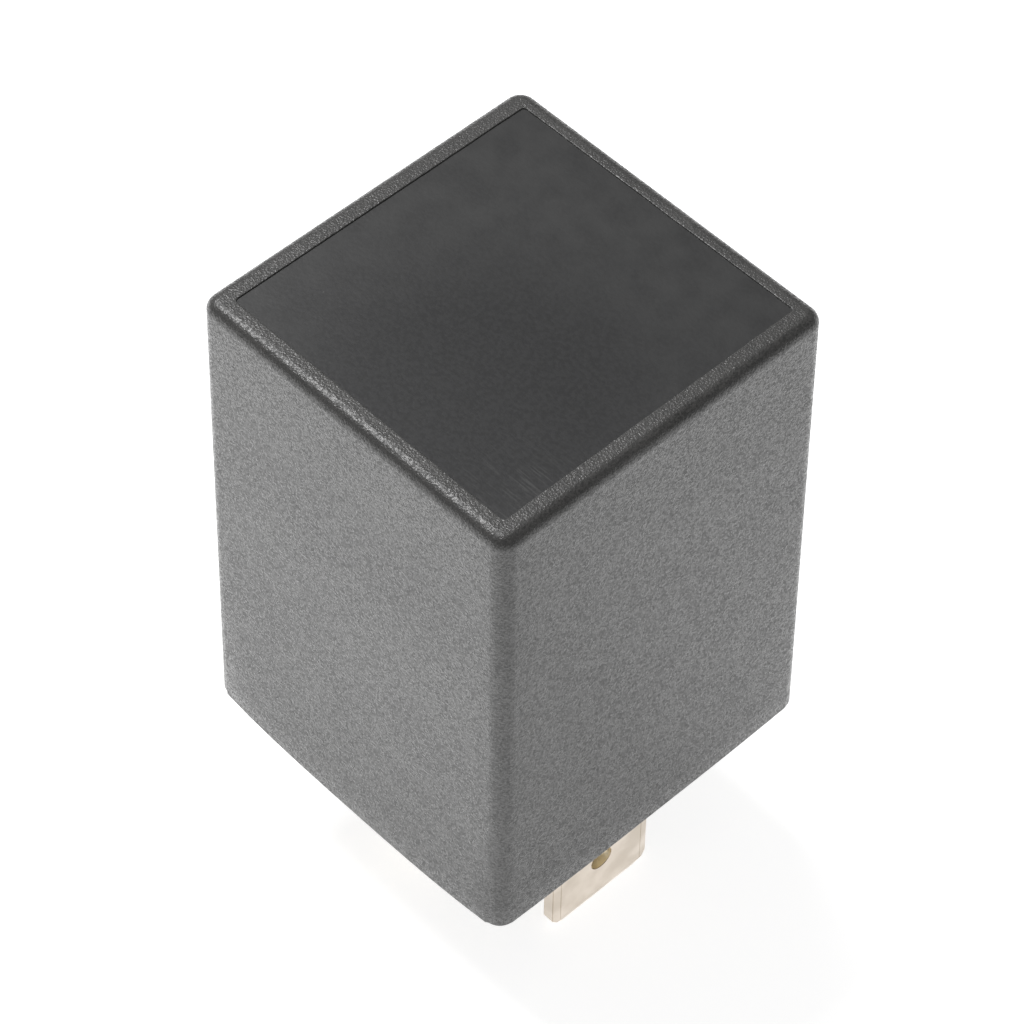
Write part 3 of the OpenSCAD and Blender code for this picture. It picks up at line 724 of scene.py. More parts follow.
class Growth(Graph):
    """A Geometry Nodes tree with named inputs, which grows one plain mesh from a mesh of points.

    Attributes:
        given: the outputs of its Group Input, by name.
        values: what each input is set to, by the socket's identifier.
    """

    def __init__(self, name: str, sizes: dict[str, float], numbers: dict[str, float]) -> None:
        """Starts the tree.

        Args:
            name: the tree's name.
            sizes: its lengths by name, in millimetres.
            numbers: its counts, seeds and angles in radians by name. A whole one is an integer input.
        """
        super().__init__(bpy.data.node_groups.new(name, "GeometryNodeTree"))
        face = self.tree.interface
        face.new_socket("Geometry", in_out="OUTPUT", socket_type="NodeSocketGeometry")
        face.new_socket("Geometry", in_out="INPUT", socket_type="NodeSocketGeometry")
        self.values: dict[str, float] = {}
        lengths = {label: size * MM for label, size in sizes.items()}
        for label, value in (lengths | numbers).items():
            kind = "NodeSocketInt" if isinstance(value, int) else "NodeSocketFloat"
            made = face.new_socket(label, in_out="INPUT", socket_type=kind)
            self.values[made.identifier] = value
        self.given = self.add("NodeGroupInput").outputs

    def scaled(self, a: Any, by: Any) -> Socket:
        """Scales a vector by a value."""
        return self.node("ShaderNodeVectorMath", {0: a, "Scale": by}, operation="SCALE")

    def point(self, **parts: Any) -> Socket:
        """Joins X, Y and Z, each 0 unless it is given, into a vector."""
        return self.node("ShaderNodeCombineXYZ", parts)

    def moved(self, shape: Socket, to: Any) -> Socket:
        """Moves a geometry by a vector."""
        return self.node("GeometryNodeTransform", {"Geometry": shape, "Translation": to})

    def joined(self, *shapes: Socket) -> Socket:
        """Joins geometries into one."""
        return self.node("GeometryNodeJoinGeometry", {"Geometry": list(shapes)})

    def ring(self, sides: Any, radius: Any) -> Socket:
        """A closed circle as a curve."""
        return self.node("GeometryNodeCurvePrimitiveCircle", {"Resolution": sides, "Radius": radius})

    def swept(self, path: Socket, section: Socket, caps: bool) -> Socket:
        """Sweeps a section along a curve."""
        inputs = {"Curve": path, "Profile Curve": section, "Fill Caps": caps}
        return self.node("GeometryNodeCurveToMesh", inputs)

    def tube(self, path: Socket, radius: Any, sides: Any) -> Socket:
        """Sweeps a closed circle along a curve, and closes both ends."""
        return self.swept(path, self.ring(sides, radius), True)

    def bent(self, bend: Any, steps: Any) -> Socket:
        """Turns the given runs of points into curves with round bends.

        Args:
            bend: the radius of the bends.
            steps: the points that round a bend.

        Returns:
            The curves.
        """
        line = self.node("GeometryNodeMeshToCurve", {"Mesh": self.given["Geometry"]})
        inputs = {"Curve": line, "Count": steps, "Radius": bend, "Limit Radius": True}
        return self.node("GeometryNodeFilletCurve", inputs, mode="POLY")

    def stood(self, shape: Socket, angles: Socket) -> Socket:
        """Stands a copy of a shape at each of the given points.

        Args:
            shape: the geometry to copy.
            angles: how far each copy turns about X, Y and Z, in radians.

        Returns:
            The copies, as instances.
        """
        turn = self.node("FunctionNodeEulerToRotation", {0: angles})
        inputs = {"Points": self.given["Geometry"], "Instance": shape, "Rotation": turn}
        return self.node("GeometryNodeInstanceOnPoints", inputs)

    def grow(self, name: str, shape: Socket, finish: Finish, runs: Sequence[Sequence[Vector]]) -> Piece:
        """Ends the tree, runs it once and keeps what it makes.

        Args:
            name: the new object's name.
            shape: the geometry to keep.
            finish: its finish.
            runs: points in millimetres, joined by edges within each run, for the tree to start from.

        Returns:
            A plain mesh at the origin.
        """
        real = self.node("GeometryNodeRealizeInstances", {"Geometry": shape})
        dressed = self.node("GeometryNodeSetMaterial", {"Geometry": real, "Material": finish.material()})
        self.add("NodeGroupOutput", {"Geometry": dressed})
        points: list[Vector] = []
        edges: list[tuple[int, int]] = []
        for run in runs:
            first = len(points)
            points += [Vector(point) * MM for point in run]
            edges += [(i, i + 1) for i in range(first, len(points) - 1)]
        mesh = bpy.data.meshes.new(name + "_points")
        mesh.from_pydata(points, edges, [])
        start = linked(name + "_points", mesh)
        modifier = start.modifiers.new("growth", "NODES")
        modifier.node_group = self.tree
        for key, value in self.values.items():
            modifier[key] = value
        grown = frozen(start, name)
        smoothed(grown.data, SHARP)
        return grown


@dataclass(frozen=True)
class Wire:
    """Round wire, bent along polylines.

    Attributes:
        diameter: of the wire, in millimetres, as is every size here.
        bend: the radius at its bends.
        sides: its facets.
        bend_steps: the points that round a bend.
    """

    diameter: float
    bend: float = 1.0
    sides: int = 12
    bend_steps: int = 6

    def lay(self, name: str, run: Sequence[Vector], finish: Finish) -> Piece:
        """Lays the wire along a polyline.

        Args:
            name: the new object's name.
            run: the polyline, in millimetres.
            finish: the wire's finish.

        Returns:
            The wire as a plain mesh.
        """
        tree = Growth(
            name + "_sweep",
            {"Radius": self.diameter / 2, "Bend": self.bend},
            {"Bend Steps": self.bend_steps, "Sides": self.sides},
        )
        path = tree.bent(tree.given["Bend"], tree.given["Bend Steps"])
        return tree.grow(name, tree.tube(path, tree.given["Radius"], tree.given["Sides"]), finish, [run])

    def lay_pair(self, name: str, node: str, route: Sequence[Triple], finish: Finish, slot: Slot) -> None:
        """Lays one wire to each coil terminal, as mirror images, and places both.

        Args:
            name: the wires' name, without their terminal's number.
            node: the name of the nodes that they stand for, without the number.
            route: the bends of the one to terminal 86, in millimetres.
            finish: their finish.
            slot: the material slot that matches their finish; not used.
        """
        for number, side in (("85", -1), ("86", 1)):
            run = [Vector((side * x, y, z)) for x, y, z in route]
            place_piece(self.lay(name + number, run, finish), node + number)


@dataclass(frozen=True)
class Rivets:
    """Formed rivets with low domed heads.

    Attributes:
        grip: the thickness that they hold together, in millimetres, as is every size here.
        tilt: degrees that their axis turns about X, from +Z.
        shank: the shank's diameter.
        head: the head's radius.
        rise: its height.
        sides: their facets.
        dome: the head's outline, as shares of its rise and of its radius.
    """

    grip: float
    tilt: float
    shank: float = 1.6
    head: float = 1.28
    rise: float = 0.5
    sides: int = 32
    dome: tuple[Range, ...] = ((0.0, 1.0), (0.5, 0.88), (0.82, 0.6), (1.0, 0.02))

    def set(self, name: str, places: Sequence[Vector], finish: Finish) -> Piece:
        """Sets one rivet at each place.

        Args:
            name: the new object's name.
            places: where the shanks start, in millimetres.
            finish: the rivets' finish.

        Returns:
            The rivets as one plain mesh.
        """
        tree = Growth(
            name + "_set",
            {"Shank": self.shank / 2, "Grip": self.grip, "Head": self.head, "Rise": self.rise},
            {"Tilt": math.radians(self.tilt), "Sides": self.sides},
        )
        given = tree.given
        sides = {"Vertices": given["Sides"]}
        shank = tree.node(
            "GeometryNodeMeshCylinder", {"Radius": given["Shank"], "Depth": given["Grip"], **sides}
        )
        parts = [tree.moved(shank, tree.point(Z=tree.math("MULTIPLY", given["Grip"], 0.5)))]
        for (low, wide), (high, narrow) in zip(self.dome, self.dome[1:]):
            layer = tree.node(
                "GeometryNodeMeshCone",
                {
                    "Radius Bottom": tree.math("MULTIPLY", given["Head"], wide),
                    "Radius Top": tree.math("MULTIPLY", given["Head"], narrow),
                    "Depth": tree.math("MULTIPLY", given["Rise"], high - low),
                    **sides,
                },
            )
            lift = tree.math("ADD", given["Grip"], tree.math("MULTIPLY", given["Rise"], low))
            parts.append(tree.moved(layer, tree.point(Z=lift)))
        row = tree.stood(tree.joined(*parts), tree.point(X=given["Tilt"]))
        return tree.grow(name, row, finish, [[place] for place in places])


@dataclass(frozen=True)
class EdgeBreak:
    """A copy of a solid whose sharp edges are rounded, as tumbling or a worn tool leaves them.

    Attributes:
        radius: the width of the rounding, in millimetres.
        steps: its segments.
        sharp: edges that turn by more degrees than this are rounded.
        level: faces that turn by fewer degrees than this are joined first.
    """

    radius: float = 0.06
    steps: int = 2
    sharp: float = 30.0
    level: float = 1.0

    def copy(self, node: str, name: str, finish: Finish, edge_shade_finish: Finish | None = None) -> Piece:
        """Makes the rounded copy.

        Args:
            node: the solid's name in the frame.
            name: the copy's name.
            finish: its finish.
            edge_shade_finish: the finish of its rounded edges, where that differs; on the blades a darker
                tin, which is painted shade along them.

        Returns:
            The copy, a plain mesh at the origin.
        """
        build = solid_copy(node)
        limit = math.radians(self.level)
        bmesh.ops.dissolve_limit(build, angle_limit=limit, verts=build.verts, edges=build.edges)
        raw = mesh_object(name + "_raw", build, [finish, edge_shade_finish] if edge_shade_finish else [finish])
        bevel = raw.modifiers.new("edges", "BEVEL")
        bevel.width = self.radius * MM
        bevel.segments = self.steps
        bevel.limit_method = "ANGLE"
        bevel.angle_limit = math.radians(self.sharp)
        # The rounding takes the second finish where one is given; on the blades that paints shade along their
        # edges.
        bevel.material = 1 if edge_shade_finish else -1
        made = frozen(raw, name)
        smoothed(made.data, self.sharp)
        return made


# The can --------------------------------------------------------------------------------


def quarter_turn(side: int) -> Matrix:
    """The turn about Z that takes the +X side to side 1, 2 or 3."""
    return Matrix.Rotation(side * math.pi / 2, 3, "Z")


@dataclass(frozen=True)
class Can:
    """Moulded can: drafted sides, rounded edges, a framed panel in the roof, and its hollow inside.

    Attributes:
        half: half its width across the lower edge, in millimetres, as is every size here.
        height: from the lower edge to the rim.
        draft: of the sides, in degrees.
        lean: how much further the +Y and -Y sides lean in by the time they reach the rim.
        wall: the thickness of its sides.
        roof: the thickness of its roof.
        edge_r: the radius of its upright edges.
        least_r: the smallest radius that the rounding round the roof may leave them.
        inner_r: the radius of the hollow's upright edges.
        rim_r: the radius of the edges round the roof.
        rims: the rim's mean width beside the X sides and beside the Y sides.
        panel_depth: how far the panel lies below the rim.
        panel_shift: how far it lies off the middle, towards +X.
        panel_r: its corner radius.
        sink: how far its middle has sunk.
        shrink: the sizes of the rings that close the panel and the ceiling.
        crest: how far out, and how far down, each ring over the rim's inner edge lies.
        ragged: how far the panel's border strays from straight.
        waves: for its long and short waves, their pace along a side, the step from side to side
            and their level in the noise.
        wave_share: the share of each in the whole.
        lip_r: the radius of the lower edge.
        bows: how far the middle of each lower edge bows out, for +X, +Y, -X and -Y.
        bow_height: how far up the bow has died out.
        support: the width of the flat bands that keep the shading of the rounding apart.
        snap_z: the height of the snap beads.
        snap_r: their radius.
        snap_len: their length.
        mouth: the chamfer round the mouth.
        rib_w: the guide ribs' width.
        rib_h: how far they stand out.
        rib_x: how far they stand from the middle of their side.
        rib_low: the height of their feet.
        rib_sunk: how far they are sunk into the wall and the roof.
        station: the spacing of the points along a side.
        stations: how many there are on each side of its middle.
        corner_steps: the segments of a corner.
        lip_steps: the segments of the lower edge.
        side_steps: the levels up a side.
        rim_steps: the segments of the rounding to the rim.
        bead_steps: the segments of half a snap bead.
        sharp: edges that turn by more degrees than this stay sharp.
    """

    half: float
    height: float
    draft: float = 0.5
    lean: float = 0.1
    wall: float = 1.3
    roof: float = 1.5
    edge_r: float = 1.3
    least_r: float = 0.2
    inner_r: float = 0.5
    rim_r: float = 0.9
    rims: Range = (1.55, 1.76)
    panel_depth: float = 0.1
    panel_shift: float = 0.13
    panel_r: float = 0.3
    sink: float = 0.03
    shrink: tuple[float, ...] = (0.96, 0.85, 0.7, 0.5, 0.3, 0.12, 0.0)
    crest: tuple[Range, ...] = ((0.12, 0.0), (0.05, 0.0), (0.015, 0.01), (0.0, 0.03))
    ragged: float = 0.045
    waves: tuple[Triple, Triple] = ((0.35, 7.0, 0.0), (1.6, 11.0, 3.0))
    wave_share: float = 0.6
    lip_r: float = 0.12
    bows: tuple[float, ...] = (0.15, 0.15, 0.52, 0.15)
    bow_height: float = 14.0
    support: float = 0.06
    snap_z: float = 1.75
    snap_r: float = 0.45
    snap_len: float = 8.0
    mouth: float = 0.3
    rib_w: float = 1.0
    rib_h: float = 0.9
    rib_x: float = 10.0
    rib_low: float = 3.6
    rib_sunk: float = 0.1
    station: float = 0.5
    stations: int = 24
    corner_steps: int = 10
    lip_steps: int = 3
    side_steps: int = 20
    rim_steps: int = 10
    bead_steps: int = 6
    sharp: float = 50.0

    def half_at(self, z: float) -> float:
        """Half the can's width at height z."""
        return self.half - z * math.tan(math.radians(self.draft))

    def ring(self, half: float, radius: float, z: float, push: Callable[[int, float], float]) -> list[Vector]:
        """One closed ring of points round the can.

        Args:
            half: half the ring's width.
            radius: its corner radius.
            z: its height.
            push: how far a point stands out, from its side's number and its place along that side.

        Returns:
            The ring's points in metres, anticlockwise from the +X side.
        """
        straight = half - radius
        inner = [self.station * k for k in range(-self.stations, self.stations + 1)]
        points = []
        for side in range(4):
            turn = quarter_turn(side)
            for along in (-straight, *inner, straight):
                points.append(turn @ Vector((half + push(side, along), along, z)) * MM)
            for k in range(1, self.corner_steps):
                a = k / self.corner_steps * math.pi / 2
                corner = Vector((straight + radius * math.cos(a), straight + radius * math.sin(a), z))
                points.append(turn @ corner * MM)
        return points

    def outer_ring(self, z: float, inset: float = 0.0) -> list[Vector]:
        """Lays one ring round the sides.

        Args:
            z: its height.
            inset: how far the rounding of the lower edge or of the rim sets it in.

        Returns:
            The ring's points in metres.
        """
        fade = max(0.0, 1 - z / self.bow_height) ** 2
        half = self.half_at(z) - inset

        def bowed(side: int, along: float) -> float:
            """How far a side bows out, most at its middle."""
            return self.bows[side] * fade * max(0.0, 1 - abs(along / half) ** 3)

        return self.ring(half, max(self.least_r, self.edge_r - inset), z, bowed)

    def outside(self) -> list[list[Vector]]:
        """Lays rings from the lower edge up the sides and over the rounding to the rim.

        Returns:
            The rings, from the lowest.
        """
        rings = []
        for k in range(self.lip_steps + 1):
            a = k / self.lip_steps * math.pi / 2
            rings.append(self.outer_ring(self.lip_r * (1 - math.cos(a)), self.lip_r * (1 - math.sin(a))))
        rise = self.height - self.rim_r
        for k in range(1, self.side_steps):
            rings.append(self.outer_ring(self.lip_r + (rise - self.lip_r) * k / self.side_steps))
        rings.append(self.outer_ring(rise - self.support))
        for k in range(self.rim_steps + 1):
            a = k / self.rim_steps * math.pi / 2
            rings.append(self.outer_ring(rise + self.rim_r * math.sin(a), self.rim_r * (1 - math.cos(a))))
        rings.append(self.outer_ring(self.height, self.rim_r + self.support))
        return rings

    def border(self) -> list[list[Vector]]:
        """Lays rings over the rim's inner edge and down the short wall that frames the panel.

        Returns:
            The rings, from the outermost.
        """

        def stray(side: int, along: float) -> float:
            """How far the border strays from straight, in long and short waves."""
            long, short = (
                noise.noise(Vector((along * pace, side * step, layer))) for pace, step, layer in self.waves
            )
            return self.ragged * (self.wave_share * long + self.wave_share * short)

        profile = [(out, self.height - drop) for out, drop in self.crest]
        profile.append((0.0, self.height - self.panel_depth))
        edge, side = (self.half_at(self.height) - rim for rim in self.rims)
        rings = [self.ring(edge + out, self.panel_r + out, z, stray) for out, z in profile]
        shift = Matrix.Translation((self.panel_shift * MM, 0.0, 0.0))
        fit = shift @ Matrix.Diagonal((1, side / edge, 1, 1))
        return [[fit @ point for point in ring] for ring in rings]

    def inner_ring(self, z: float, bead: float = 0.0) -> list[Vector]:
        """Lays one ring round the inner walls.

        Args:
            z: its height.
            bead: how far the snap beads stand in there.

        Returns:
            The ring's points in metres.
        """

        def pushed(_: int, along: float) -> float:
            """How far the wall stands out, which is less than nothing along a bead."""
            return -bead if abs(along) <= self.snap_len / 2 else 0.0

        return self.ring(self.half_at(z) - self.wall, self.inner_r, z, pushed)

    def hollow(self) -> list[list[Vector]]:
        """Lays rings from the chamfered mouth up the inner walls, over the snap beads, to the roof.

        Returns:
            The rings, from the lowest.
        """
        flare = self.half_at(0.0) - self.wall + self.mouth
        rings = [self.ring(flare, self.inner_r + self.mouth, 0.0, lambda side, along: 0.0)]
        rings.append(self.inner_ring(2 * self.mouth))
        for k in range(-self.bead_steps, self.bead_steps + 1):
            a = k / self.bead_steps * math.pi / 2
            rings.append(self.inner_ring(self.snap_z + self.snap_r * math.sin(a), self.snap_r * math.cos(a)))
        rings.append(self.inner_ring(self.height - self.roof))
        return rings

    def ribs(self) -> Piece:
        """Makes guide ribs, two down the inside of each side, leaning with it and sunk into it.

        Returns:
            The ribs as one plain mesh.
        """
        inner = self.half_at(self.rib_low) - self.wall - self.rib_h
        tree = Growth(
            "guide_ribs",
            {
                "Width": self.rib_w,
                "Depth": self.rib_h + self.rib_sunk,
                "Height": self.height - self.roof + self.rib_sunk - self.rib_low,
            },
            {"Draft": math.radians(self.draft)},
        )
        given = tree.given
        size = tree.point(X=given["Depth"], Y=given["Width"], Z=given["Height"])
        cube = tree.node("GeometryNodeMeshCube", {"Size": size})
        bar = tree.moved(cube, tree.vector("MULTIPLY", size, (0.5, 0.0, 0.5)))
        lean = tree.math("MULTIPLY", given["Draft"], -1.0)
        side = tree.math("FLOOR", tree.math("MULTIPLY", tree.node("GeometryNodeInputIndex"), 0.5))
        row = tree.stood(bar, tree.point(Y=lean, Z=tree.math("MULTIPLY", side, math.pi / 2)))
        feet = [
            quarter_turn(side) @ Vector((inner, off, self.rib_low))
            for side in range(4)
            for off in (-self.rib_x, self.rib_x)
        ]
        return tree.grow("can_ribs", row, POLISHED, [[foot] for foot in feet])

    def close(self, ring: list[Vector], sink: float) -> list[list[Vector]]:
        """Lays rings that shrink from one ring to its middle.

        Args:
            ring: the outermost ring.
            sink: how far the middle lies below it.

        Returns:
            The rings inside it, from the outermost.
        """
        middle = sum(ring, Vector()) / len(ring)
        rings = []
        for share in self.shrink:
            drop = Vector((0.0, 0.0, sink * (1 - share * share) * MM))
            rings.append([middle + (point - middle) * share - drop for point in ring])
        return rings

    def build(self) -> Piece:
        """Makes the can as one closed mesh, its grain and its smooth faces as two finishes.

        Returns:
            The can.
        """
        inner = self.hollow()
        border = self.border()
        grained = [inner[0], *self.outside(), *border]
        ceiling = [*inner, *self.close(inner[-1], 0.0)]
        panel = [border[-1], *self.close(border[-1], self.sink)]
        build = bmesh.new()
        for rings, index in ((grained, 0), (ceiling, 1), (panel, 1)):
            self.skin(build, rings, index)
        ribs = self.ribs()
        shell = len(build.faces)
        build.from_mesh(ribs.data)
        bpy.data.objects.remove(ribs)
        build.faces.ensure_lookup_table()
        for face in build.faces[shell:]:
            face.material_index = 1
        for vertex in build.verts:
            vertex.co.y *= 1 - self.lean / self.half * max(0.0, vertex.co.z / (self.height * MM))
        return mesh_object("moulded_can", build, [GRAINED, POLISHED], self.sharp)

    @staticmethod
    def skin(build: bmesh.types.BMesh, rings: list[list[Vector]], index: int) -> None:
        """Joins neighbouring rings of equally many points by bands of four-sided faces.

        Args:
            build: the mesh that gets the faces.
            rings: the rings, in their order.
            index: the faces' material index.
        """
        rows = [[build.verts.new(p) for p in ring] for ring in rings]
        for low, high in zip(rows, rows[1:]):
            for i in range(len(low)):
                j = (i + 1) % len(low)
                face = build.faces.new((low[i], low[j], high[j], high[i]))
                face.material_index = index


# Blades and base ---------------------------------------------------------------------


@dataclass(frozen=True)
class Terminals:
    """The four blades with what they become inside the can.

    Attributes:
        edges: the rounding of their edges.
        hole_r: how far from the detent hole's middle a bare face's own middle lies, in millimetres.
        hole_up: the height of its middle above the tip.
    """

    edges: EdgeBreak = EdgeBreak(0.09, 2, 9.0)
    hole_r: float = 1.05
    hole_up: float = 4.7

    def build(self) -> None:
        """Rounds each terminal's edges, with painted shade on the rounding, and shows bare brass in and
        around its detent hole, made pale as painted light.
        """
        for number in ("30", "87", "85", "86"):
            node = "terminal_" + number
            # The rounded edges take the darker tin, which is painted shade along the blade's bevels.
            piece = self.edges.copy(node, "blade_" + number, TINNED, EDGE_SHADED_TIN)
            low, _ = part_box(node)
            self.bare_hole_painted_light(piece, low)
            place_piece(piece, node)

    def bare_hole_painted_light(self, piece: Piece, low: Vector) -> None:
        """Gives the cut brass finish, made pale with painted light, to the faces whose middle lies near the
        detent hole's.

        These are the hole's own faces, and also a large flat beside it if its middle is that near.

        Args:
            piece: the blade.
            low: the lowest corner of its box.
        """
        # Bare brass of the punched hole, paler than its own colour: painted light on the hole's wall.
        piece.data.materials.append(HOLE_BRASS_PAINTED_LIGHT.material())
        cut = len(piece.data.materials) - 1
        tip = [v.co for v in piece.data.vertices if v.co.z < low.z + MM]
        middle = sum(tip, Vector()) / len(tip)
        middle.z = low.z + self.hole_up * MM
        for face in piece.data.polygons:
            if (face.center - middle).length < self.hole_r * MM:
                face.material_index = cut


@dataclass(frozen=True)
class Base:
    """The moulded plate that snaps into the can and carries the terminals.

    Attributes:
        edges: the rounding of its edges.
    """

    edges: EdgeBreak = EdgeBreak(0.12, 3)

    def build(self) -> None:
        """Softens its edges, as a moulding's are."""
        place_piece(self.edges.copy("base", "base_plate", BASE_NYLON), "base")


# Magnet and coil ---------------------------------------------------------------------


@dataclass(frozen=True)
class Magnet:
    """The bent yoke and the turned core riveted into its foot.

    Attributes:
        edges: the rounding of their edges.
    """

    edges: EdgeBreak = EdgeBreak(0.12)

    def build(self) -> None:
        """Tumbles the edges of both and plates them."""
        for node, name in (("yoke", "bent_yoke"), ("core", "turned_core")):
            place_piece(self.edges.copy(node, name, ZINCED), node)


@dataclass(frozen=True)
class Coil:
    """The bobbin, its enamelled winding and the winding's two ends.

    Attributes:
        middle: how far the coil stands back from the middle, in millimetres, as is every size here.
        low: the height of the winding's foot.
        height: of the winding.
        inner: its inner radius.
        outer: its outer radius.
        wire: the wire's diameter, drawn about twice too coarse so that its turns show.
        layers: how many wires deep each layer lies, and whether it is wound back.
        bed: how many wires deep the solid bed below them begins.
        waver: how far the turns stray along the coil.
        waver_size: the length over which they do.
        seed: of the noise that they stray by.
        steps_per_turn: the points along one turn.
        sides: the wire's facets.
        edges: the rounding of the bobbin's edges.
        lead: the ends, which are doubled back and twisted for strength.
        route: where an end leaves the winding, bends to run along its post, and stops.
    """

    middle: float = 0.8
    low: float = 7.02
    height: float = 23.46
    inner: float = 4.32
    outer: float = 7.2
    wire: float = 0.36
    layers: tuple[tuple[float, bool], ...] = ((0.5, False), (1.36, True))
    bed: float = 1.3
    waver: float = 0.05
    waver_size: float = 3.0
    seed: int = 3
    steps_per_turn: int = 40
    sides: int = 6
    edges: EdgeBreak = EdgeBreak(0.15, 3)
    lead: Wire = Wire(0.5)
    route: tuple[Triple, ...] = ((3.75, -5.35, 7.4), (10.53, -2.2, 8.0), (10.53, 1.2, 8.5))

    def build(self) -> None:
        """Makes the bobbin, the winding and both ends."""
        bobbin = self.edges.copy("bobbin", "wound_bobbin", NATURAL_NYLON)
        place_piece(bobbin, "bobbin")
        place_piece(self.winding(), "winding")
        self.lead.lay_pair("winding_end_", "coil_lead_", self.route, ENAMEL, Slot.ENAMEL)

    def winding(self) -> Piece:
        """Winds turns of wire side by side, over the layer below and a solid bed for the rest.

        Returns:
            The winding as a plain mesh.
        """
        tree = Growth(
            "wound_layers",
            {
                "Inner Radius": self.inner,
                "Outer Radius": self.outer,
                "Height": self.height,
                "Wire": self.wire,
                "Waver": self.waver,
            },
            {"Steps per Turn": self.steps_per_turn, "Sides": self.sides, "Seed": self.seed},
        )
        given = tree.given
        radius = tree.math("MULTIPLY", given["Wire"], 0.5)
        rise = tree.math("SUBTRACT", given["Height"], given["Wire"])
        turns = tree.math("DIVIDE", rise, given["Wire"])
        layers = []
        for depth, back in self.layers:
            across = tree.math("SUBTRACT", given["Outer Radius"], tree.math("MULTIPLY", given["Wire"], depth))
            spiral = {
                "Resolution": given["Steps per Turn"],
                "Rotations": turns,
                "Start Radius": across,
                "End Radius": across,
                "Height": rise,
                "Reverse": back,
            }
            layers.append(tree.node("GeometryNodeCurveSpiral", spiral))
        ruled = {
            "Vector": tree.node("GeometryNodeInputPosition"),
            "W": given["Seed"],
            "Scale": 1 / (self.waver_size * MM),
            "Detail": 1.0,
        }
        waver = tree.node("ShaderNodeTexNoise", ruled, noise_dimensions="4D")
        drift = tree.math("MULTIPLY", tree.math("SUBTRACT", waver, 0.5), given["Waver"])
        laid = tree.node(
            "GeometryNodeSetPosition",
            {"Geometry": tree.joined(*layers), "Offset": tree.point(Z=drift)},
        )
        inset = tree.math("SUBTRACT", given["Outer Radius"], tree.math("MULTIPLY", given["Wire"], self.bed))
        wall = tree.math("SUBTRACT", inset, given["Inner Radius"])
        mean = tree.math("MULTIPLY", tree.math("ADD", inset, given["Inner Radius"]), 0.5)
        section = tree.node("GeometryNodeCurvePrimitiveQuadrilateral", {"Width": wall, "Height": rise})
        bed = tree.swept(tree.ring(given["Steps per Turn"], mean), section, False)
        centred = tree.moved(bed, tree.point(Z=tree.math("MULTIPLY", rise, 0.5)))
        both = tree.joined(tree.tube(laid, radius, given["Sides"]), centred)
        foot = (0.0, self.middle * MM, (self.low + self.wire / 2) * MM)
        return tree.grow("wound_wire", tree.moved(both, foot), ENAMEL, [[Vector()]])


# Armature and contacts ---------------------------------------------------------------


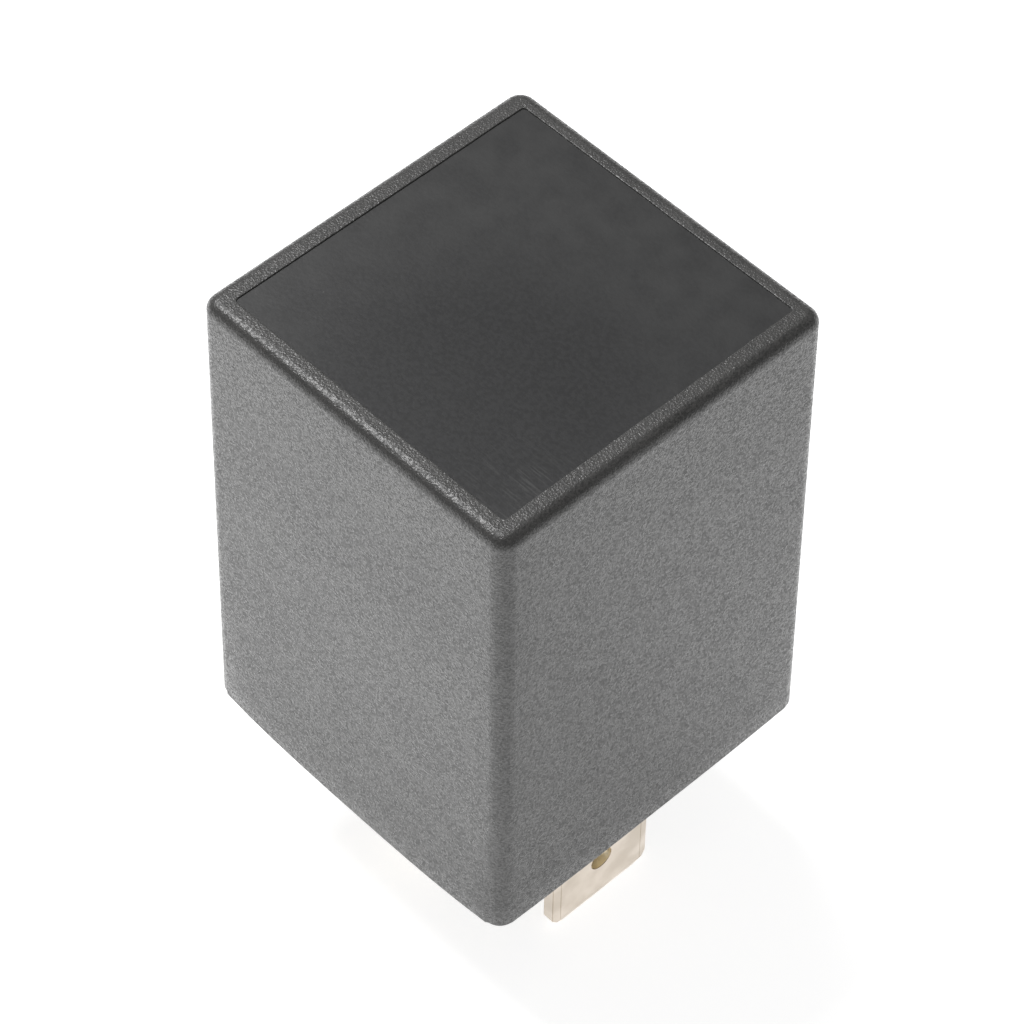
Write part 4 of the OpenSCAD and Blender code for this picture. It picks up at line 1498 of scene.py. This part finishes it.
@dataclass(frozen=True)
class Braid:
    """Flat braid of bare copper wire from terminal 30 over the stop to the moving contact.

    Attributes:
        width: of the braid, in millimetres, as is every size here.
        thickness: of the braid.
        lay: the length in which a bundle goes once round it.
        wire: the wire's diameter, drawn coarser than the real one so that it shows.
        bundles: bundles of wires, half of them wound each way.
        wires: wires in a bundle.
        gap: the gap between two bundles, in wires.
        welded: the length over which each end is pressed flat.
        pressed: the share of its thickness that is left there.
        bend: the radius at its bends.
        bend_steps: the points that round a bend.
        steps: the points along a wire.
        sides: a wire's facets.
        route: its bends.
        across: where it begins to follow the armature, and where it follows it wholly; not used.
    """

    width: float = 2.4
    thickness: float = 0.9
    lay: float = 8.0
    wire: float = 0.15
    bundles: int = 16
    wires: int = 3
    gap: float = 0.6
    welded: float = 1.6
    pressed: float = 0.45
    bend: float = 1.4
    bend_steps: int = 8
    steps: int = 240
    sides: int = 4
    route: tuple[Triple, ...] = (
        (5.9, 12.57, 25.0),
        (5.9, 12.57, 37.86),
        (0.6, -3.0, 37.86),
        (0.0, -5.78, 36.93),
        (0.0, -7.55, 37.03),
    )
    across: tuple[Triple, Triple] = ((0.0, -3.0, 38.0), (0.0, -5.8, 36.6))

    def build(self) -> None:
        """Makes the braid and lets it stand for its node."""
        tree = Growth(
            "woven_braid",
            {
                "Width": self.width,
                "Thickness": self.thickness,
                "Lay": self.lay,
                "Wire": self.wire,
                "Bend": self.bend,
                "Welded": self.welded,
            },
            {
                "Bundles": self.bundles,
                "Wires": self.wires,
                "Steps": self.steps,
                "Sides": self.sides,
                "Bend Steps": self.bend_steps,
            },
        )
        given = tree.given
        path = tree.node(
            "GeometryNodeResampleCurve",
            {"Curve": tree.bent(given["Bend"], given["Bend Steps"]), "Count": given["Steps"]},
        )
        amount = tree.math("MULTIPLY", given["Bundles"], given["Wires"])
        copies = tree.add(
            "GeometryNodeDuplicateElements", {"Geometry": path, "Amount": amount}, domain="SPLINE"
        ).outputs
        along = tree.add("GeometryNodeSplineParameter").outputs
        shift = self.offset(tree, copies["Duplicate Index"], along["Length"], along["Factor"])
        laid = tree.node("GeometryNodeSetPosition", {"Geometry": copies[0], "Offset": shift})
        strands = tree.tube(laid, tree.math("MULTIPLY", given["Wire"], 0.5), given["Sides"])
        piece = tree.grow("copper_braid", strands, BARE_COPPER, [[Vector(p) for p in self.route]])
        bend_piece(piece, "braid")

    def offset(self, tree: Growth, index: Socket, length: Socket, factor: Socket) -> Socket:
        """Works out how far a wire lies from the braid's middle line.

        Args:
            tree: the braid's tree.
            index: the wire's number.
            length: how far along the line the point is.
            factor: the same as a share of the whole.

        Returns:
            The offset as a vector.
        """
        given = tree.given
        bundle = tree.math("FLOOR", tree.math("DIVIDE", index, given["Wires"]))
        wire = tree.math("SUBTRACT", index, tree.math("MULTIPLY", bundle, given["Wires"]))
        way = tree.math("SUBTRACT", tree.math("MULTIPLY", tree.math("MODULO", bundle, 2.0), 2.0), 1.0)
        turned = tree.math("MULTIPLY", tree.math("DIVIDE", length, given["Lay"]), math.tau)
        share = tree.math("DIVIDE", math.tau, given["Bundles"])
        middle = (self.wires - 1) / 2
        pitch = tree.math("ADD", given["Wires"], self.gap)
        beside = tree.math("DIVIDE", tree.math("SUBTRACT", wire, middle), pitch)
        start = tree.math("MULTIPLY", share, tree.math("ADD", bundle, tree.math("MULTIPLY", beside, 2.0)))
        angle = tree.math("ADD", tree.math("MULTIPLY", way, turned), start)
        half = tree.math("MULTIPLY", given["Bundles"], 0.5)
        weave = tree.math(
            "MULTIPLY",
            tree.math("MULTIPLY", way, tree.math("COSINE", tree.math("MULTIPLY", half, turned))),
            tree.math("MULTIPLY", given["Wire"], 0.5),
        )
        flow = tree.node("GeometryNodeInputTangent")
        slant = tree.vector("DOT_PRODUCT", flow, (1.0, 0.0, 0.0), "Value")
        flat = tree.vector("SUBTRACT", (1.0, 0.0, 0.0), tree.scaled(flow, slant))
        flat = tree.vector("NORMALIZE", flat)
        upright = tree.vector("CROSS_PRODUCT", flow, flat)
        span, depth = (
            tree.math("SUBTRACT", tree.math("MULTIPLY", given[size], 0.5), given["Wire"])
            for size in ("Width", "Thickness")
        )
        whole = tree.math("DIVIDE", length, tree.math("MAXIMUM", factor, TINY))
        left = tree.math("MINIMUM", length, tree.math("SUBTRACT", whole, length))
        free = tree.spread(left, (0.0, given["Welded"]), (self.pressed, 1.0), "LINEAR")
        sideways = tree.math("MULTIPLY", tree.math("ADD", span, weave), tree.math("COSINE", angle))
        upward = tree.math("MULTIPLY", tree.math("ADD", depth, weave), tree.math("SINE", angle))
        upward = tree.math("MULTIPLY", upward, free)
        return tree.vector("ADD", tree.scaled(flat, sideways), tree.scaled(upright, upward))


@dataclass(frozen=True)
class Switch:
    """The hinged armature with its leaf and contacts, the stop above it and the braid to the leaf.

    Attributes:
        open_angle: degrees between the open and the closed armature.
        hinge: a point of the hinge line, in millimetres, as is every size here.
        edges: the rounding of the edges of the plate and the stop.
        button_edges: the rounding of the contacts' edges.
        arm_rivet: where a rivet starts between armature and leaf, in the closed pose.
        arm_grip: the thickness that it holds together.
        leg_rivet: where a rivet starts between yoke, terminal 30 and leaf.
        leg_grip: the thickness that it holds together.
        leg_tilt: degrees that its axis turns about X, from +Z.
        leaf_bend: where the leaf begins to follow the armature, and where it follows it wholly.
        leaf_cuts: the bands that it is cut into between them.
        leaf_sharp: its edges that turn by more degrees than this stay sharp.
        braid: the braid to the moving contact.
    """

    open_angle: float = 4.0
    hinge: Triple = (0.0, 10.9, 33.2)
    edges: EdgeBreak = EdgeBreak(0.08)
    button_edges: EdgeBreak = EdgeBreak(0.06)
    arm_rivet: Triple = (2.9, 6.0, 33.25)
    arm_grip: float = 1.92
    leg_rivet: Triple = (2.5, 8.95, 25.0)
    leg_grip: float = 3.52
    leg_tilt: float = -90.0
    leaf_bend: tuple[Triple, Triple] = ((0.0, 12.25, 32.0), (0.0, 10.5, 35.0))
    leaf_cuts: int = 12
    leaf_sharp: float = 30.0
    braid: Braid = Braid()

    def opened(self, place: Vector) -> Vector:
        """Turns a point about the hinge line.

        Args:
            place: where it is when the armature is closed.

        Returns:
            Where it is when the armature rests open.
        """
        hinge = Vector(self.hinge)
        turn = Matrix.Rotation(-math.radians(self.open_angle), 3, "X")
        return hinge + turn @ (place - hinge)

    def build(self) -> None:
        """Makes every piece of the switch."""
        for node, name, edges, finish, slot, body in (
            ("armature", "hinged_plate", self.edges, ZINCED, Slot.STEEL, Body.ARMATURE),
            ("moving_contact", "moving_button", self.button_edges, SILVER, Slot.SILVER, Body.ARMATURE),
            ("fixed_contact", "fixed_button", self.button_edges, SILVER, Slot.SILVER, Body.FRAME),
            ("armature_stop", "stop_bridge", self.edges, BRONZE, Slot.BRONZE, Body.FRAME),
        ):
            place_piece(edges.copy(node, name, finish), node, body)
        self.rivets()
        self.leaf()
        self.braid.build()

    def rivets(self) -> None:
        """Two rivets hold the leaf to the armature, and two hold it to the yoke and terminal 30."""
        x, y, z = self.arm_rivet
        places = [self.opened(Vector((side * x, y, z))) for side in (-1, 1)]
        piece = Rivets(self.arm_grip, -self.open_angle).set("leaf_rivets", places, ZINCED)
        place_piece(piece, "armature_rivets", Body.ARMATURE)
        x, y, z = self.leg_rivet
        places = [Vector((side * x, y, z)) for side in (-1, 1)]
        piece = Rivets(self.leg_grip, self.leg_tilt).set("leg_rivets", places, ZINCED)
        place_piece(piece, "yoke_rivets")

    def leaf(self) -> None:
        """Cuts the leaf finely where it bends."""
        build = solid_copy("contact_spring")
        start, end = (Vector(p) * MM for p in self.leaf_bend)
        for k in range(self.leaf_cuts + 1):
            bmesh.ops.bisect_plane(
                build,
                geom=[*build.verts, *build.edges, *build.faces],
                plane_co=start.lerp(end, k / self.leaf_cuts),
                plane_no=end - start,
                dist=WELD / 10,
            )
        piece = mesh_object("leaf_spring", build, [BRONZE], self.leaf_sharp)
        bend_piece(piece, "contact_spring")


@dataclass(frozen=True)
class Suppressor:
    """The resistor across the coil terminals, with its two leads.

    Attributes:
        edges: the rounding of the body's edges.
        lead: the leads.
        route: where a lead leaves the body, turns back, and stops at its post, in millimetres.
    """

    edges: EdgeBreak = EdgeBreak(0.1, 3)
    lead: Wire = Wire(0.46)
    route: tuple[Triple, ...] = ((3.0, -8.65, 9.9), (11.87, -8.65, 9.9), (11.87, 1.2, 9.9))

    def build(self) -> None:
        """Makes the body and its leads."""
        body = self.edges.copy("resistor", "resistor_body", LACQUER)
        place_piece(body, "resistor")
        self.lead.lay_pair("resistor_end_", "resistor_lead_", self.route, TINNED, Slot.TINNED)


# Studio --------------------------------------------------------------------------------


def direction(azimuth: float, elevation: float) -> Vector:
    """Finds the way from the relay to a camera or a lamp.

    Args:
        azimuth: degrees from the -Y side, anticlockwise.
        elevation: degrees above the horizon.

    Returns:
        A vector of length 1.
    """
    a, e = math.radians(azimuth), math.radians(elevation)
    return Vector((math.sin(a) * math.cos(e), -math.cos(a) * math.cos(e), math.sin(e)))


@dataclass(frozen=True)
class Viewpoint:
    """The camera, on a sphere round the relay.

    Attributes:
        azimuth: degrees from looking along +Y.
        elevation: degrees above the horizon.
        roll: degrees anticlockwise.
        distance: from the point it looks at, in millimetres, as is every size here.
        aim: the height of that point.
        shift: how far the camera stands right and up of the line to it.
        lens: focal length on a 36 mm sensor.
        clip: the nearest and the furthest that it sees.
    """

    azimuth: float = -44.29
    elevation: float = 50.4
    roll: float = 0.92
    distance: float = 288.2
    aim: float = 21.43
    shift: Range = (0.17, -0.57)
    lens: float = 146.5
    clip: Range = (10.0, 20000.0)

    def build(self) -> None:
        """Makes the camera and gives it to the scene."""
        a, r = math.radians(self.azimuth), math.radians(self.roll)
        back = direction(self.azimuth, self.elevation)
        right = Vector((math.cos(a), math.sin(a), 0.0))
        up = back.cross(right)
        across = right * math.cos(r) + up * math.sin(r)
        upward = up * math.cos(r) - right * math.sin(r)
        turn = Matrix((across, upward, back)).transposed().to_4x4()
        place = back * self.distance + right * self.shift[0] + up * self.shift[1]
        data = bpy.data.cameras.new("camera")
        data.lens = self.lens
        data.clip_start, data.clip_end = (reach * MM for reach in self.clip)
        camera = linked("camera", data)
        camera.matrix_world = Matrix.Translation((place + Vector((0, 0, self.aim))) * MM) @ turn
        bpy.context.scene.camera = camera


@dataclass(frozen=True)
class SoftBox:
    """A square area lamp that faces the relay.

    Attributes:
        name: the lamp's name.
        azimuth: degrees, as for the camera.
        elevation: degrees above the horizon.
        distance: from the point that it lights, in millimetres.
        size: its side.
        power: in watts.
    """

    name: str
    azimuth: float
    elevation: float
    distance: float
    size: float
    power: float

    def build(self, aim: Vector) -> None:
        """Makes the lamp.

        Args:
            aim: the point that it faces, in metres.
        """
        back = direction(self.azimuth, self.elevation)
        data = bpy.data.lights.new(self.name, "AREA")
        data.shape = "SQUARE"
        data.size = self.size * MM
        data.energy = self.power
        lamp = linked(self.name, data)
        lamp.location = aim + back * self.distance * MM
        lamp.rotation_mode = "QUATERNION"
        lamp.rotation_quaternion = back.to_track_quat("Z", "Y")


@dataclass(frozen=True)
class Studio:
    """White sweep, dim room and soft lamps.

    Attributes:
        floor_size: the floor's side, in millimetres, as is every size here.
        room: the room's brightness, as the relay sees it.
        horizon: between these sines of elevation a mirrored room goes from white to dim.
        paper: the floor's reflectance.
        lift: the floor's own brightness for the camera.
        mirrored: its brightness in mirrors, at both ends of the way across.
        way: the direction in which it grows.
        fade: how far from the middle each end is reached.
        lit: the height of the point that the lamps face.
        lamps: the lamps.
    """

    floor_size: float = 4000.0
    room: float = 0.25
    horizon: Range = (0.02, 0.25)
    paper: float = 0.82
    lift: float = 0.8
    mirrored: Range = (1.1, 1.45)
    way: Triple = (-0.7, 0.7, 0.0)
    fade: float = 60.0
    lit: float = 20.0
    lamps: tuple[SoftBox, ...] = (SoftBox("overhead", 180.0, 61.0, 600.0, 310.0, 3.0),)

    def build(self, floor_z: float) -> None:
        """Sets the view transform, world, floor and lamps.

        Args:
            floor_z: the height of the blades' tips, in metres.
        """
        bpy.context.scene.view_settings.view_transform = "Standard"
        self.world()
        self.floor(floor_z)
        for lamp in self.lamps:
            lamp.build(Vector((0.0, 0.0, self.lit * MM)))

    def world(self) -> None:
        """White where the camera, a mirror or glass sees it, and a dim room for its light."""
        world = bpy.data.worlds.new("room")
        bpy.context.scene.world = world
        sky = Graph(emptied(world))
        rays = sky.add("ShaderNodeLightPath").outputs
        place = sky.node("ShaderNodeTexCoord", out="Generated")
        height = sky.node("ShaderNodeSeparateXYZ", {"Vector": place}, "Z")
        low = sky.spread(height, self.horizon, (1.0, 0.0), "LINEAR")
        mirrored = sky.math("MULTIPLY", rays["Is Glossy Ray"], low)
        seen = sky.math("MAXIMUM", rays["Is Camera Ray"], rays["Is Transmission Ray"])
        white = sky.math("MAXIMUM", seen, mirrored)
        strength = sky.spread(white, (0.0, 1.0), (self.room, 1.0), "LINEAR")
        background = sky.node("ShaderNodeBackground", {"Color": WHITE, "Strength": strength})
        sky.add("ShaderNodeOutputWorld", {"Surface": background})

    def floor(self, z: float) -> None:
        """A pale floor with the relay's soft shadow, which mirrors see as a bright sweep.

        Args:
            z: its height, in metres.
        """
        build = bmesh.new()
        bmesh.ops.create_grid(build, x_segments=1, y_segments=1, size=self.floor_size / 2 * MM)
        bmesh.ops.translate(build, verts=build.verts, vec=(0.0, 0.0, z))
        mesh = bpy.data.meshes.new("floor")
        build.to_mesh(mesh)
        build.free()
        mesh.materials.append(self.sweep())
        floor = linked("floor", mesh)
        floor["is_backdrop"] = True

    def sweep(self) -> bpy.types.Material:
        """Makes matt white paper that glows for the camera and, brighter towards one end, in mirrors.

        Returns:
            The material.
        """
        made = bpy.data.materials.new("paper_white_matt")
        paper = Graph(emptied(made))
        rays = paper.add("ShaderNodeLightPath").outputs
        place = paper.node("ShaderNodeTexCoord", out="Object")
        across = paper.vector("DOT_PRODUCT", place, self.way, "Value")
        span = (-self.fade * MM, self.fade * MM)
        bright = paper.spread(across, span, self.mirrored, "LINEAR")
        clear = paper.math("MAXIMUM", rays["Is Camera Ray"], rays["Is Transmission Ray"])
        shown = paper.math("MULTIPLY", clear, self.lift)
        gloss = paper.math("MULTIPLY", rays["Is Glossy Ray"], bright)
        glow = paper.math("MAXIMUM", shown, gloss)
        matt = paper.node("ShaderNodeBsdfDiffuse", {"Color": (self.paper, self.paper, self.paper, 1.0)})
        light = paper.node("ShaderNodeEmission", {"Color": WHITE, "Strength": glow})
        both = paper.node("ShaderNodeAddShader", {0: matt, 1: light})
        paper.add("ShaderNodeOutputMaterial", {"Surface": both})
        return made


def corners() -> list[list[float]]:
    """Lowest and highest corner of everything that shows, as plain lists."""
    return [[round(c, 6) for c in corner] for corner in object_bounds()]


def main() -> None:
    """Builds the studio and every visible piece round the frame."""
    logging.basicConfig(level=logging.INFO, format="%(name)s: %(message)s")
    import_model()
    solid = corners()
    _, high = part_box("cover")
    Viewpoint().build()
    Studio().build(solid[0][2])
    can = Can(half=high.x / MM, height=high.z / MM).build()
    place_piece(can, "cover")
    for assembly in (Terminals(), Base(), Magnet(), Coil(), Switch(), Suppressor()):
        LOG.info("building %s", type(assembly).__name__)
        assembly.build()


if __name__ == "__main__":
    main()
